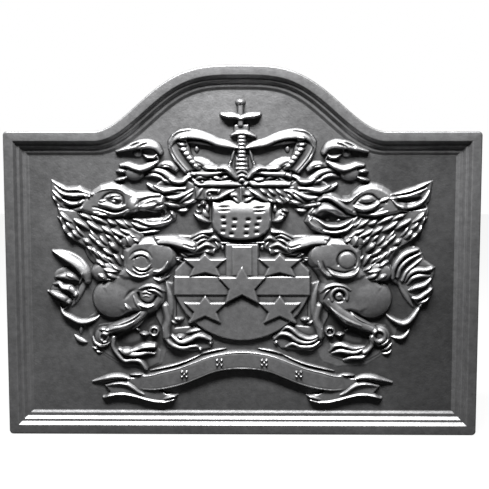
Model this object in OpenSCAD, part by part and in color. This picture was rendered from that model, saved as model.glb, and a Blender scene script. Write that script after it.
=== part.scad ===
// Fireback with a raised coat of arms: an arched plate, a stepped rim mitred at
// the corners, and the carved relief, each piece seated flat on the plate.
// The front looks along -Y, +Z is up, and the origin is the middle of the bottom
// edge on the flat back.

/* [Plate] */
// Width over the outer edges
plate_w = 600; // [570:5:680]
// Height of the level shoulders
side_h = 388; // [384:2:430]
// Rise of the arch above the shoulders
arch_rise = 82; // [74:2:120]
// Half of the arch's width, where it meets the shoulders
arch_half = 184; // [176:2:210]
// How far the arch stands left of the middle
arch_left = 3; // [0:0.5:6]
// Thickness of the plate
plate_t = 10; // [6:0.5:20]

/* [Rim] */
// Width of the rim, from the outer edge to the field
rim_w = 29; // [26:0.5:31]
// Height of the rim above the field
rim_h = 10; // [6:0.5:14]
// Width of the rim's flat outer fillet
fillet_w = 11; // [6:0.5:13]
// Steps from the fillet down to the field
rim_steps = 3; // [2:1:4]
// Width of each step's slope
step_slope = 3; // [2:0.25:3.5]

/* [Shield] */
// Width of the shield
shield_w = 172; // [160:2:180]
// Height of the shield's top edge above the hearth
shield_top = 228; // [226:0.5:230]
// Height of the shield's lowest point above the hearth
shield_foot = 122; // [119:0.5:125]
// Radius of the shield's round base
shield_r = 92; // [90:1:94]
// Cut across the shield's top corners
shield_cant = 16; // [10:1:22]
// Height of the shield above the field
shield_h = 5; // [3:0.5:8]
// Height of the middle band's top edge
band_top = 204; // [202:0.5:206]
// Width of the middle band
band_w = 23; // [18:1:26]
// Height of the bands above the shield
band_h = 2; // [1:0.25:3]
// Width of the upright band over the shield
pale_w = 40; // [34:1:40]
// Width of the middle star
star_w = 60; // [50:1:64]
// Height of the middle star above the shield
star_h = 5; // [4:0.5:7]
// Width of the four outer stars
small_star_w = 53; // [44:1:53]
// Height of the outer stars above the shield
small_star_h = 3; // [2:0.5:5]
// Distance of the outer stars from the middle
small_star_x = 47; // [47:0.5:50]

/* [Helmet] */
// Width of the helmet
helmet_w = 72; // [60:1:76]
// Height of the helmet's foot above the hearth
helmet_z = 251; // [250:0.25:252]
// Height of the helmet above the field
helmet_h = 11; // [8:0.5:14]
// Depth of the collar under the helmet
collar_w = 4; // [3:0.25:5]
// Length of the eye slots
slot_len = 12; // [8:0.5:14]
// Width of the eye slots
slot_w = 1.8; // [1:0.2:2.4]
// Radius of the breath holes' sunk mouths
breath_r = 1.6; // [1:0.1:2]

/* [Crown] */
// Width of the crown over its arches
crown_w = 180; // [170:2:186]
// Height of the arches above the field
crown_h = 10; // [7:0.5:13]
// Width of the circlet
circlet_w = 122; // [112:1:128]
// Height of the circlet's foot above the hearth
circlet_z = 320; // [319:0.25:321]
// Depth of the circlet from foot to rim
circlet_d = 17; // [14:0.5:18]
// Radius of the beads on the arches
bead_r = 2.8; // [2:0.1:3.2]
// Ribs on the middle arch
arch_ribs = 12; // [8:1:14]
// Width of the cross's arms
cross_w = 44; // [36:1:48]

/* [Supporters] */
// Height of each lion, from its feet to its crest
lion_h = 240; // [232:1:242]
// Height of the lions' relief above the field
lion_relief = 14; // [9:0.5:17]
// Distance from the shield's side to the lions' place on it
lion_gap = 0; // [0:0.5:4]

/* [Mantling and ribbon] */
// Height of the leaves above the field
leaf_relief = 10; // [7:0.5:13]
// Width of the ribbon's band
ribbon_w = 25; // [20:0.5:28]
// Height of the ribbon above the field
ribbon_h = 7; // [5:0.5:10]
// Width of each small rose on the ribbon
rose_w = 11; // [8:0.5:13]
// Petals of each rose
rose_petals = 4; // [4:1:6]

/* [Hidden] */
iron = [0.28, 0.28, 0.29];
seam = 0.3;                 // clearance between neighbouring pieces of relief
reach = 40;                 // depth of a cutting block, more than any relief
front = plate_t;            // the field's distance from the back
SIDES = ["left", "right"];  // the relief is drawn on the left and mirrored for the right

// ---- outline of the plate ----

// Height of the outline at x: level shoulders and an arch that swells and fades
function outline_z(x) = let (t = min(abs(x + arch_left) / arch_half, 1))
    side_h + arch_rise * (1 + cos(180 * pow(t, 1.6))) / 2;
arch_steps = 28;
arch_xs = [for (i = [0:arch_steps]) -arch_left - arch_half + 2 * arch_half * i / arch_steps];
top_path = concat([[-plate_w / 2, side_h]], [for (x = arch_xs) [x, outline_z(x)]], [[plate_w / 2, side_h]]);
module outline() polygon(concat([[plate_w / 2, 0], [-plate_w / 2, 0]], top_path));

// The field inside the rim, which the relief keeps to
module field() offset(delta = -rim_w - seam) outline();

// ---- ways of shaping ----

// A flat shape raised from a level towards the viewer
module raised(h, from = front) translate([0, -from, 0]) rotate([90, 0, 0]) linear_extrude(h) children();

// A block that cuts right through the relief over a flat shape
module block() raised(reach) children();

module mirrored(side) mirror([side == "right" ? 1 : 0, 0, 0]) children();

// A closed skin over a row of equal closed rings
module skin(rings) {
    n = len(rings[0]);
    m = len(rings);
    sides = [for (i = [0:m - 2], j = [0:n - 1]) let (a = i * n + j, b = i * n + (j + 1) % n)
        each [[a, b + n, b], [a, a + n, b + n]]];
    polyhedron(points = [for (r = rings) each r],
        faces = concat(sides, [[for (j = [0:n - 1]) j]], [[for (j = [n - 1:-1:0]) (m - 1) * n + j]]));
}

// A solid stretched over a handful of points
module nugget(points) hull() polyhedron(points = points, faces = [[for (k = [0:len(points) - 1]) k]]);

// Points of a smooth curve through the rows of p, n to a span
function row(p, i) = p[min(max(i, 0), len(p) - 1)];
function pass(a, b, c, d, t) =
    0.5 * (2 * b + (c - a) * t + (2 * a - 5 * b + 4 * c - d) * t * t + (3 * b - a - 3 * c + d) * t * t * t);
function smooth(p, n) = [for (i = [0:len(p) - 2], k = [0:n - 1])
    pass(row(p, i - 1), p[i], p[i + 1], row(p, i + 2), k / n), p[len(p) - 1]];
function turned(c, i) = let (d = row(c, i + 1) - row(c, i - 1)) atan2(d[1], d[0]);

// A stroke of carving along rows of [x, z, half width, share of the relief]:
// rounded across and flat on the field
facet = 60;
function stroke_ring(c, i, relief) = let (q = c[i], a = turned(c, i))
    [for (s = [0:facet:180])
        [q[0] - sin(a) * q[2] * cos(s), -front - relief * q[3] * sin(s), q[1] + cos(a) * q[2] * cos(s)]];
module stroke(rows, relief, n = 2) {
    c = smooth(rows, n);
    skin([for (i = [0:len(c) - 1]) stroke_ring(c, i, relief)]);
}

// The flat shape of a stroke, w times as wide as its rows
function beside(c, i, w) = let (a = turned(c, i))
    [c[i][0] - w * sin(a) * c[i][2], c[i][1] + w * cos(a) * c[i][2]];
module along(c, w = 1)
    polygon([for (i = [0:len(c) - 1]) beside(c, i, w), for (i = [len(c) - 1:-1:0]) beside(c, i, -w)]);

// A leaf or lock of hair from [x, z] at an angle: a kite with a ridge along it
module lock(x, z, angle, long, wide, h, from = front) {
    kite = [[0, 0, 0], [0.35, 0.5, 0], [1, 0, 0], [0.35, -0.5, 0], [0.16, 0, 0.8], [0.6, 0, 1]];
    nugget([for (p = kite) let (u = long * p[0], v = wide * p[1])
        [x + u * cos(angle) - v * sin(angle), -from - h * p[2], z + u * sin(angle) + v * cos(angle)]]);
}

// A low dome of radii rx and rz at [x, z]
mound_sides = 8;
module mound(x, z, rx, rz, h, from = front)
    nugget([[x, -from - h, z], for (lift = [0, 45], k = [0:mound_sides - 1]) let (a = 360 * k / mound_sides)
        [x + rx * cos(lift) * cos(a), -from - h * sin(lift), z + rz * cos(lift) * sin(a)]]);

// ---- plate and rim ----

module back_plate() color(iron) raised(plate_t, 0) outline();

step_drop = rim_h / rim_steps;
step_ledge = (rim_w - fillet_w - rim_steps * step_slope) / (rim_steps - 1);
// Rim section: distance in from the outer edge, and height above the field
rim_section = concat([[0, 0], [0, rim_h], [fillet_w, rim_h]], [for (i = [1:rim_steps])
    let (at = fillet_w + i * step_slope + (i - 1) * step_ledge, h = rim_h - i * step_drop)
        each i == rim_steps ? [[at, 0]] : [[at, h], [at + step_ledge, h]]]);

// The section carried along a path, with the way inwards at each point of it
module rail(path, inward) color(iron) skin([for (i = [0:len(path) - 1]) [for (s = rim_section)
    [path[i][0] + s[0] * inward[i][0], -front - s[1], path[i][1] + s[0] * inward[i][1]]]]);

function across(p, i) = let (d = p[i + 1] - p[i - 1]) [d[1], -d[0]] / norm(d);
module rim_top() rail(top_path,
    concat([[1, -1]], [for (i = [1:len(top_path) - 2]) across(top_path, i)], [[-1, -1]]));
module rim_bottom() rail([[plate_w / 2, 0], [-plate_w / 2, 0]], [[-1, 1], [1, 1]]);
module rim_left() rail([[-plate_w / 2, 0], [-plate_w / 2, side_h]], [[1, 1], [1, -1]]);
module rim_right() rail([[plate_w / 2, side_h], [plate_w / 2, 0]], [[-1, -1], [-1, 1]]);

// ---- shield ----

module shield_shape() intersection() {
    translate([0, shield_foot + shield_r]) circle(shield_r, $fn = 72);
    polygon([[-shield_w / 2, 0], [-shield_w / 2, shield_top - shield_cant],
        [-shield_w / 2 + shield_cant, shield_top], [shield_w / 2 - shield_cant, shield_top],
        [shield_w / 2, shield_top - shield_cant], [shield_w / 2, 0]]);
}

// A five-pointed star that hangs from its level arms, w across, in the squat old form
module star(x, z, w, peak, drop) translate([x, z]) polygon([[-w / 2, 0], [-w / 8, 0], [0, peak], [w / 8, 0],
    [w / 2, 0], [w * 0.24, -drop * 0.48], [w * 0.36, -drop], [0, -drop * 0.7], [-w * 0.36, -drop],
    [-w * 0.24, -drop * 0.48]]);
band_foot = band_top - band_w;
module centre_star_shape() star(0, band_top, star_w, peak = 13, drop = 33);
module outer_star_shapes() for (x = [-small_star_x, small_star_x]) {
    star(x, shield_top - 1.5, small_star_w, peak = 6, drop = 21);
    star(x, band_foot - 10, small_star_w, peak = 6, drop = 25);
}
module band_shape() intersection() {
    shield_shape();
    translate([-plate_w / 2, band_foot]) square([plate_w, band_w]);
}
collar_foot = helmet_z - collar_w;
module pale_shape() translate([-pale_w / 2, band_top + seam])
    square([pale_w, collar_foot - band_top - 2 * seam]);

// A piece on the shield, which reaches down to the field where it passes the shield's edge
module on_shield(h) {
    raised(h, front + shield_h) children();
    raised(shield_h + h) difference() {
        children();
        offset(delta = seam) shield_shape();
    }
}

module shield() color(iron) raised(shield_h) shield_shape();
module shield_band() color(iron) raised(band_h, front + shield_h) difference() {
    band_shape();
    offset(delta = seam) centre_star_shape();
}
module shield_pale() color(iron) on_shield(band_h) difference() {
    pale_shape();
    offset(delta = seam) centre_star_shape();
    offset(delta = seam) outer_star_shapes();
}
module centre_star() color(iron) raised(star_h, front + shield_h) centre_star_shape();
module outer_stars() color(iron) on_shield(small_star_h) outer_star_shapes();

// ---- helmet ----

helmet_top = 302;
helmet_round = 21;          // height of the helmet's round foot
module helmet_shape(inset = 0) translate([0, helmet_z + helmet_round]) {
    r = helmet_w / 2 - inset;
    intersection() {
        scale([1, (helmet_round - inset) / r]) circle(r, $fn = 24);
        translate([-r, -helmet_round]) square([2 * r, helmet_round]);
    }
    translate([-r, 0]) square([2 * r, helmet_top - helmet_z - helmet_round - inset]);
}
breath_rows = [[-23, 281, -0.8], [-9, 278, -2.4], [7, 278, -1.6], [21, 280, -0.8]]; // x, z, lean of each row
breath_pitch = 9;
slot_x = 22;
module helmet() color(iron) difference() {
    hull() {
        raised(helmet_h * 0.55) helmet_shape();
        raised(helmet_h * 0.9) helmet_shape(4);
        raised(helmet_h) helmet_shape(12);
    }
    for (side = [-1, 1], i = [0:1]) translate([side * slot_x, -front - helmet_h * 0.75, 292.5 - 4 * i])
        nugget([for (y = [0, -reach], u = [-slot_len, slot_len], v = [-slot_w, slot_w]) [u / 2, y, v / 2]]);
    for (r = breath_rows, i = [0:2])
        translate([r[0] + i * r[2], -front - helmet_h * 0.8, r[1] - breath_pitch * i])
        nugget([for (y = [0, -reach], k = [0:5]) let (w = (y == 0 ? 0.3 : 1) * breath_r)
            [w * cos(60 * k), y, w * sin(60 * k)]]);
    block() offset(delta = seam) drapery_shape();
}
module helmet_collar() color(iron) raised(shield_h + band_h)
    translate([-pale_w * 0.6, collar_foot]) square([pale_w * 1.2, collar_w - seam]);

// A ball and a leaf that curl out beside the helmet's eye slots
module helmet_leaves() color(iron) difference() {
    for (side = SIDES) mirrored(side) translate([-helmet_w / 2, 0, 0]) {
        mound(-13, 296.5, 4.4, 4.8, leaf_relief * 0.7);
        lock(-15, 296, -58, 22, 9, leaf_relief * 0.7);
        lock(-22, 291, -25, 16, 6, leaf_relief * 0.5);
        lock(-20, 287, -28, 18, 8, leaf_relief * 0.6);
    }
    block() offset(delta = seam) drapery_shape();
}

// ---- crown ----

crown_k = crown_w / 180;
circlet_top = circlet_z + circlet_d;
arch_top = 383;
module circlet_shape() translate([-circlet_w / 2, circlet_z]) square([circlet_w, circlet_d]);
gems = 7;
module crown_circlet() color(iron) difference() {
    union() {
        raised(crown_h * 0.35) circlet_shape();
        for (z = [circlet_z + 2.2, circlet_top - 2.2])
            nugget([for (x = [-circlet_w / 2, circlet_w / 2], p = [[-2.2, 0], [2.2, 0], [-1.2, 1], [1.2, 1]])
                [x, -front - p[1] * crown_h * 0.8, z + p[0]]]);
        pitch = circlet_w / gems;
        for (i = [0:gems - 1]) translate([(i + 0.5) * pitch - circlet_w / 2, -front, circlet_z + circlet_d / 2])
            nugget([[-pitch * 0.42, 0, 0], [pitch * 0.42, 0, 0], [0, 0, -circlet_d * 0.27],
                [0, 0, circlet_d * 0.27], [0, -crown_h * 0.75, 0]]);
        for (side = SIDES) mirrored(side) {
            lock(-25, 349, -48, 22, 9, crown_h * 0.75);
            lock(-40, 349, -60, 18, 7, crown_h * 0.6);
        }
    }
    block() {
        offset(delta = seam) centre_arch_shape();
        for (side = SIDES) mirror([side == "right" ? 1 : 0, 0]) offset(delta = seam) sized_arch_shape();
    }
}

arch_rows = [[-9, 370, 4, 0.7], [-22, 374, 4.5, 0.8], [-38, 380, 5.5, 0.9], [-55, 384.5, 7, 1], [-70, 385, 8, 1],
    [-81, 379, 9, 1], [-83, 368, 9, 0.95], [-78, 357, 8, 0.9], [-71, 347, 7, 0.85], [-64, 338, 6, 0.8]];
bead_spots = [[-74, 379], [-73.5, 371], [-71, 364], [-66, 357], [-60, 351], [-54, 346], [-48, 341.5]];
module side_arch_shape() {
    along(smooth(arch_rows, 2));
    along([for (b = bead_spots) concat(b, [bead_r])]);
}
module sized_arch_shape() scale([crown_k, 1]) side_arch_shape();
module crown_arch(side) color(iron) mirrored(side) difference() {
    scale([crown_k, 1, 1]) {
        stroke(arch_rows, crown_h);
        stroke([for (b = bead_spots) concat(b, [bead_r * 0.7, 0.5])], crown_h, 1);
        for (b = bead_spots) mound(b[0], b[1], bead_r, bead_r, crown_h);
        lock(-61, 355, -24, 30, 9, crown_h * 0.6);
    }
    block() translate([-plate_w / 2, 0]) square([plate_w, circlet_top + seam]);
    block() offset(delta = seam) centre_arch_shape();
}
module centre_arch_shape() polygon([[-6, arch_top], [6, arch_top], [6, 362], [9, 350], [9, circlet_top + seam],
    [-9, circlet_top + seam], [-9, 350], [-6, 362]]);
module crown_arch_centre() color(iron) {
    raised(crown_h * 0.5) centre_arch_shape();
    foot = circlet_top + seam + 2;
    pitch = (arch_top - 2 - foot) / (arch_ribs - 1);
    for (i = [0:arch_ribs - 1]) {
        z = foot + i * pitch;
        w = z < 355 ? 8 : 5.5;
        nugget([for (x = [-w, w], p = [[-pitch * 0.42, 0], [pitch * 0.42, 0], [0, 1]])
            [x * (1 - 0.1 * p[1]), -front - (0.4 + 0.6 * p[1]) * crown_h, z + p[0]]]);
    }
}
module crown_cross() color(iron) {
    nugget([for (p = [[-14, 0.3], [14, 0.3], [9, 7.5], [-9, 7.5]], h = [0, crown_h * 0.7]) [p[0], -front - h, arch_top + p[1]]]);
    nugget([for (x = [-8, 8], z = [6, 15], h = [0, crown_h * 0.4]) [x, -front - h, arch_top + z]]);
    nugget([for (x = [-2.5, 2.5], z = [11, 42], h = [0, crown_h * 0.5]) [x, -front - h, arch_top + z]]);
    for (side = SIDES) mirrored(side) {
        for (turn = [-9, 0, 9]) lock(-cross_w / 2 + abs(turn) / 6, arch_top + 25 + turn * 0.45, turn, cross_w / 2, 7, crown_h * 0.9);
    }
    for (x = [-2.2, 2.2]) mound(x, arch_top + 42, 3, 3, crown_h * 0.8);
}

// ---- drapery between crown and helmet ----

module drapery_shape() polygon([[-57, circlet_z - seam], [-54, 304], [-38, 300], [-17, 304], [0, 294], [15, 305],
    [30, 300], [54, 300], [57, circlet_z - seam]]);
folds = 5;                  // on each side of the middle leaf
module drapery() color(iron) intersection() {
    union() {
        raised(leaf_relief * 0.4) drapery_shape();
        for (side = SIDES) mirrored(side) {
            for (i = [0:folds - 1]) lock(-7 - 10 * i, circlet_z - 1, -132 - 2 * i, 21, 8, leaf_relief);
            lock(-2, 315, -108, 20, 9, leaf_relief * 0.9);
        }
    }
    block() drapery_shape();
}

// ---- mantling ----

// The left lion's room, which ends under the mantling and before its muzzle
room = [[-plate_w / 2, 0], [0, 0], [0, 286], [-84, 286], [-84, 290], [-97, 296], [-97, 312], [-128, 316],
    [-128, 322.5], [-170, 322.5], [-170, 346], [-plate_w / 2, 346]];
module mantling(side) color(iron) mirrored(side) difference() {
    union() {
        stroke([[-60, 318, 3, 0.6], [-80, 318, 3.5, 0.8], [-100, 317, 4.5, 1], [-113, 320, 5, 1],
            [-121, 328, 4, 0.8], [-118, 337, 3.5, 0.9], [-104, 340, 4.5, 1], [-90, 334, 6, 1],
            [-78, 329, 5.5, 0.9], [-64, 333, 3, 0.6]], leaf_relief);
        stroke([[-112, 336, 2.5, 0.5], [-101, 332, 4, 0.7], [-90, 327, 2.5, 0.5]], leaf_relief);
        stroke([[-107, 345, 3, 0.5], [-95, 350, 4, 0.9], [-84, 347, 4.5, 0.9], [-75, 332, 3, 0.5]], leaf_relief);
        raised(leaf_relief * 0.3) polygon([[-56, 318], [-57, 303], [-74, 290], [-90, 292], [-97, 298], [-106, 313], [-100, 319]]);
        for (i = [0:4]) lock(-60 - 4 * i, 315 - 4.2 * i, 178 - 3 * i, 34 - 2 * i, 6.5, leaf_relief * 0.8);
        lock(-58, 306, 208, 18, 6, leaf_relief * 0.7);
        lock(-96, 299, -18, 24, 7, leaf_relief * 0.6);
        lock(-82, 291, -2, 16, 6, leaf_relief * 0.5);
    }
    block() offset(delta = seam) {
        circlet_shape();
        drapery_shape();
        sized_arch_shape();
    }
    block() polygon(room);
}

module mantling_scroll(side) color(iron) mirrored(side) difference() {
    union() {
        stroke([[-155, 364, 1.5, 0.3], [-143, 369, 4, 0.8], [-130, 373.5, 5, 1], [-117, 375, 5, 1],
            [-107, 370, 4.5, 1], [-103, 362, 3.5, 0.8], [-108, 355, 3, 0.7], [-117, 356, 2.5, 0.7],
            [-123, 360, 1.5, 0.4]], leaf_relief);
        for (i = [0:2]) lock(-143 + 7 * i, 369 + 2 * i, -70 + 8 * i, 11, 5, leaf_relief * 0.8);
        stroke([[-152, 347, 2.5, 0.7], [-144, 348, 4, 0.9], [-134, 342.5, 4, 0.8], [-125, 343, 4, 0.9],
            [-113, 348, 4, 0.9], [-106, 353, 3, 0.6]], leaf_relief);
        for (i = [0:3]) lock(-130 - 2 * i, 341 - 3.4 * i, 176 + 6 * i, 22 + 2 * i, 5, leaf_relief * 0.75);
        mound(-132, 336.5, 11, 9, leaf_relief * 0.5);
    }
    block() {
        polygon(room);
        difference() {
            outline();
            field();
        }
    }
}

// ---- lions ----

// The lions are drawn 240 high on the plate's own grid, and sized about the place
// where the left one's forearm passes over the shield's side
drawn_h = 240;
drawn_arm = [-86, 0, 250];
slab = 0.3;                 // share of the relief that lies under a whole limb
module supporter(side) mirrored(side) translate([-shield_w / 2 - lion_gap, 0, drawn_arm[2]])
    scale([lion_h / drawn_h, 1, lion_h / drawn_h]) translate(-drawn_arm) children();

// The carved parts of a lion meet along these seams
nape = [[-242, 304], [-228, 291], [-205, 287], [-184, 281], [-150, 279], [-141, 268], [-133, 257.5]];
breast = [[-139, 245], [-150, 236], [-154, 220], [-158, 204], [-168, 196], [-182, 206], [-190, 232], [-212, 250],
    [-238, 262]];
thigh = [[-186, 149.5], [-160, 152], [-143, 163], [-128, 166]];
crotch = [[-116, 150], [-110, 121], [-100, 100]];
head_seam = concat([[-260, 340]], nape, [[-84, 257.5], [-84, 290], [-97, 296], [-97, 340]]);
mane_seam = concat(nape, breast);
foreleg_seam = [[-109, 257.5], [-109, 230], [-98, 200], [0, 200], [0, 268], [-60, 268], [-60, 257.5]];
hind_seam = concat([[-196, 149.5]], thigh, crotch, [[-100, 84], [-196, 84]]);
far_seam = concat([[-128, 166], [-112, 172], [-90, 176], [-60, 176], [-30, 140], [-30, 95]], [for (i = [2:-1:0]) crotch[i]]);
tail_seam = [[-262, 252], [-205, 246], [-190, 232], [-190, 160], [-184, 151], [-186, 149.5], [-196, 149.5], [-196, 84],
    [-262, 84]];

// What stands before the lions, the shield, the helmet and the ribbon, and all outside their rooms
module taken() block() offset(delta = seam) {
    difference() {
        outline();
        intersection() {
            field();
            for (side = SIDES) mirror([side == "right" ? 1 : 0, 0]) polygon(room);
        }
    }
    shield_shape();
    pale_shape();
    outer_star_shapes();
    helmet_shape();
    translate([-pale_w * 0.6, collar_foot]) square([pale_w * 1.2, collar_w]);
    ribbon_shape();
}

// A part of a lion, kept to its own side of the seams
module lion_part(side, seam_points) color(iron) difference() {
    supporter(side) intersection() {
        union() children();
        block() offset(delta = -seam / 2) polygon(seam_points);
    }
    taken();
}

// Rows of the mane: the first lock's x and z, the step along the row, locks in it, and their length
mane_rows = [[-227, 285, 17.5, 0.5, 5, 18], [-222, 270, 15.5, 0.6, 6, 18], [-214, 257, 14, 1, 6, 16],
    [-196, 247, 13, 0.5, 4, 14], [-186, 235, 12.5, 1, 3, 14], [-181, 222, 12, 1, 2, 13], [-179, 211, 10, 0, 2, 12]];
module lion_mane(side) lion_part(side, mane_seam) {
    raised(lion_relief * 0.35) polygon(mane_seam);
    for (r = mane_rows, i = [0:r[4] - 1])
        lock(r[0] + i * r[2], r[1] + i * r[3], -38 - 2 * i, r[5], 8, lion_relief * (0.65 + 0.03 * i));
}

module lion_head(side) lion_part(side, head_seam) {
    raised(lion_relief * slab) polygon([[-240, 327], [-222, 319], [-205, 320], [-190, 313], [-165, 320], [-150, 316],
        [-138, 308], [-98, 307], [-92, 298], [-98, 291], [-128, 290], [-136, 285], [-128, 280], [-104, 280], [-92, 287],
        [-84, 287], [-92, 275], [-104, 262], [-133, 258], [-150, 279], [-228, 291], [-242, 304], [-226, 304]]);
    // ear
    stroke([[-238, 325, 1.5, 0.3], [-226, 318, 3, 0.7], [-213, 314, 3.5, 0.8], [-190, 307, 5, 0.8]], lion_relief);
    stroke([[-234, 314, 2, 0.4], [-224, 301, 2.5, 0.5], [-210, 298, 2.5, 0.6], [-199, 301, 3, 0.6]], lion_relief);
    // brow, bridge and muzzle
    mound(-178, 299, 22, 17, lion_relief * 0.75);
    stroke([[-192, 306, 5, 0.7], [-176, 314, 6, 0.9], [-160, 315, 6, 1], [-147, 308, 6.5, 1], [-132, 302, 7, 1],
        [-114, 301, 8, 0.95], [-99, 300, 6, 0.7]], lion_relief);
    stroke([[-177, 294, 3, 0.7], [-162, 292, 3.5, 0.8], [-134, 294, 4, 0.8]], lion_relief);
    mound(-159, 303, 8, 5.5, lion_relief * 0.85);
    mound(-105, 300, 5, 3.5, lion_relief * 0.95);
    // cheek, lower jaw and beard
    lock(-190, 287, 4, 46, 8, lion_relief * 0.75);
    lock(-172, 283, -4, 26, 7, lion_relief * 0.65);
    stroke([[-152, 284, 4, 0.6], [-142, 277, 5.5, 0.8], [-126, 272, 6, 0.85], [-108, 272, 5, 0.8], [-94, 277, 4, 0.7],
        [-87, 286, 2.5, 0.4]], lion_relief);
    for (i = [0:2]) lock(-136 + 11 * i, 266 - i, -10, 17, 5, lion_relief * 0.6);
}

module lion_body(side) color(iron) difference() {
    supporter(side) difference() {
        union() {
            mound(-132, 226, 32, 33, lion_relief * 0.8);        // shoulder
            mound(-115, 236, 26, 22, lion_relief * 0.75);       // upper arm
            mound(-140, 248, 14, 10, lion_relief * 0.7);        // throat
            mound(-150, 198, 26, 16, lion_relief * 0.55);       // waist
            mound(-112, 204, 20, 12, lion_relief * 0.5);        // breast
            mound(-167, 176, 26, 25, lion_relief * 0.85);       // haunch
            mound(-124, 182, 34, 17, lion_relief * 0.6);        // flank
            mound(-101, 188, 16, 17, lion_relief * 0.55);       // belly
            for (coil = [[-128, 225, 12, 0.95], [-121, 181, 12, 0.8]])
                stroke([for (a = [0:60:300]) [coil[0] + coil[2] * cos(a), coil[1] + coil[2] * sin(a), 2, coil[3]]], lion_relief);
        }
        for (s = [head_seam, mane_seam, foreleg_seam, hind_seam, far_seam, tail_seam])
            block() offset(delta = seam / 2) polygon(s);
    }
    taken();
}

module lion_foreleg(side) lion_part(side, foreleg_seam) {
    raised(lion_relief * slab) polygon([[-109, 257], [-80, 256.5], [-68, 253], [-60, 262], [-45, 267], [-36, 264],
        [-31, 253], [-34, 242], [-48, 239], [-76, 234], [-79, 226], [-92, 217], [-109, 207]]);
    stroke([[-122, 232, 24, 0.75], [-104, 237, 20, 0.75], [-90, 243, 13.5, 0.75], [-76, 248, 8.5, 0.7],
        [-62, 249, 6, 0.6]], lion_relief);
    toe_z = [[255, 262, 264], [250, 256, 257], [246, 250, 250], [242, 244, 243]];
    for (i = [0:3]) {
        t = toe_z[i];
        stroke([[-70, 249.5 - 1.5 * i, 3, 0.6], [-58, t[0], 3, 0.8], [-47, t[1], 3.2, 0.9], [-37, t[2], 2, 0.6]], lion_relief, 1);
        lock(-42 + 2 * i, t[2] + 1, -42, 13, 4, lion_relief * 0.6);
    }
    for (i = [0:3]) lock(-101 + 6 * i, 222 + 3 * i, 12 - 12 * i, 21 - i, 5.5, lion_relief * 0.55);
}

// Long toes that rise to the knuckle and fall to the claw, one below another
toe_pitch = 9;
module toes(x, z, long, count) for (i = [0:count - 1]) translate([x - 2 * i, 0, z - toe_pitch * i]) {
    stroke([[0, 0, 3, 0.6], [0.3 * long, -2, 3.6, 0.85], [0.65 * long, 3, 3.2, 0.8], [0.9 * long, 1, 2, 0.5]], lion_relief, 1);
    lock(0.82 * long, 2, -45, 11, 4, lion_relief * 0.5);
}

module lion_hind_leg(side) lion_part(side, hind_seam) {
    raised(lion_relief * slab) polygon([[-127, 167], [-145, 162], [-160, 151], [-186, 139], [-190, 127], [-186, 115],
        [-172, 108], [-160, 95], [-124, 90], [-111, 98], [-110, 112], [-116, 119], [-152, 113], [-162, 118], [-164, 126],
        [-150, 132], [-136, 142], [-122, 152]]);
    stroke([[-128, 174, 13, 0.7], [-138, 156, 12, 0.75], [-152, 142, 9, 0.7], [-168, 133, 8, 0.7],
        [-175, 124, 7, 0.7], [-169, 113, 6, 0.65], [-160, 105, 6, 0.65], [-150, 102, 6, 0.7]], lion_relief);
    mound(-177, 128, 11, 11, lion_relief * 0.75);
    mound(-177, 128, 5, 5, lion_relief * 0.95);
    toes(-156, 115, 46, 3);
    for (i = [0:3]) lock(-188 + 4 * i, 122 - 4 * i, -62 + 6 * i, 14, 5, lion_relief * 0.5);
    lock(-140, 160, -120, 30, 6, lion_relief * 0.85);
}

module lion_far_leg(side) lion_part(side, far_seam) {
    raised(lion_relief * slab) polygon([[-118, 170], [-90, 177], [-86, 160], [-74, 152], [-75, 144], [-78, 138],
        [-70, 139], [-50, 139], [-40, 128], [-42, 118], [-52, 110], [-72, 110], [-98, 116], [-105, 128], [-107, 150]]);
    stroke([[-98, 186, 14, 0.55], [-98, 165, 11, 0.6], [-99, 145, 8, 0.55], [-96, 130, 8, 0.5], [-87, 122, 8, 0.55]],
        lion_relief);
    toes(-90, 134, 50, 2);
    lock(-95, 119, -4, 46, 7, lion_relief * 0.7);
    for (i = [0:3]) lock(-94 + i, 157 - 5 * i, -20 - 6 * i, 20, 5.5, lion_relief * 0.6);
    for (i = [0:1]) lock(-103 + 6 * i, 174 - 6 * i, -92, 28, 5, lion_relief * 0.75);
}

// Tufts of the tail: x and z of the root, angle and length
tuft_rows = [[-204, 206, 176, 34], [-206, 199, 172, 36], [-209, 190, 160, 36], [-214, 181, 158, 36], [-216, 174, 160, 26]];
module lion_tail(side) lion_part(side, tail_seam) {
    raised(lion_relief * slab) polygon([[-238, 243], [-217, 239], [-200, 226], [-192, 206], [-193, 190], [-202, 176],
        [-212, 166], [-208, 154], [-196, 153], [-184, 156], [-196, 143], [-210, 141], [-225, 150], [-231, 166],
        [-226, 176], [-240, 186], [-236, 208], [-215, 211], [-218, 222], [-236, 236]]);
    stroke([[-188, 156, 3, 0.5], [-197, 148, 4.5, 0.7], [-210, 147, 5.5, 0.8], [-221, 155, 5, 0.7],
        [-224, 166, 5, 0.6], [-214, 178, 8, 0.6], [-205, 192, 10, 0.65], [-202, 207, 9, 0.7],
        [-208, 222, 8.5, 0.8], [-222, 233, 7, 0.8], [-238, 240, 2.5, 0.4]], lion_relief);
    stroke([[-197, 206, 3, 0.6], [-203, 224, 4, 0.85], [-217, 236, 4, 0.85], [-232, 242, 2, 0.5]], lion_relief);
    for (t = tuft_rows) lock(t[0], t[1], t[2], t[3], 8, lion_relief * 0.75);
    lock(-213, 145, -62, 24, 9, lion_relief * 0.6);
    for (i = [0:1]) lock(-228 + 8 * i, 164 - 9 * i, -60 + 30 * i, 16, 5, lion_relief * 0.8);
}

// A ball and leaves that hang clear between the hind legs
module lion_tassel(side) color(iron) supporter(side) {
    mound(-114, 134, 6, 6, lion_relief * 0.55);
    lock(-117, 133.5, 190, 14, 7, lion_relief * 0.5);
    lock(-126, 131, 122, 10, 5, lion_relief * 0.4);
}

// ---- ribbon ----

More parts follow.
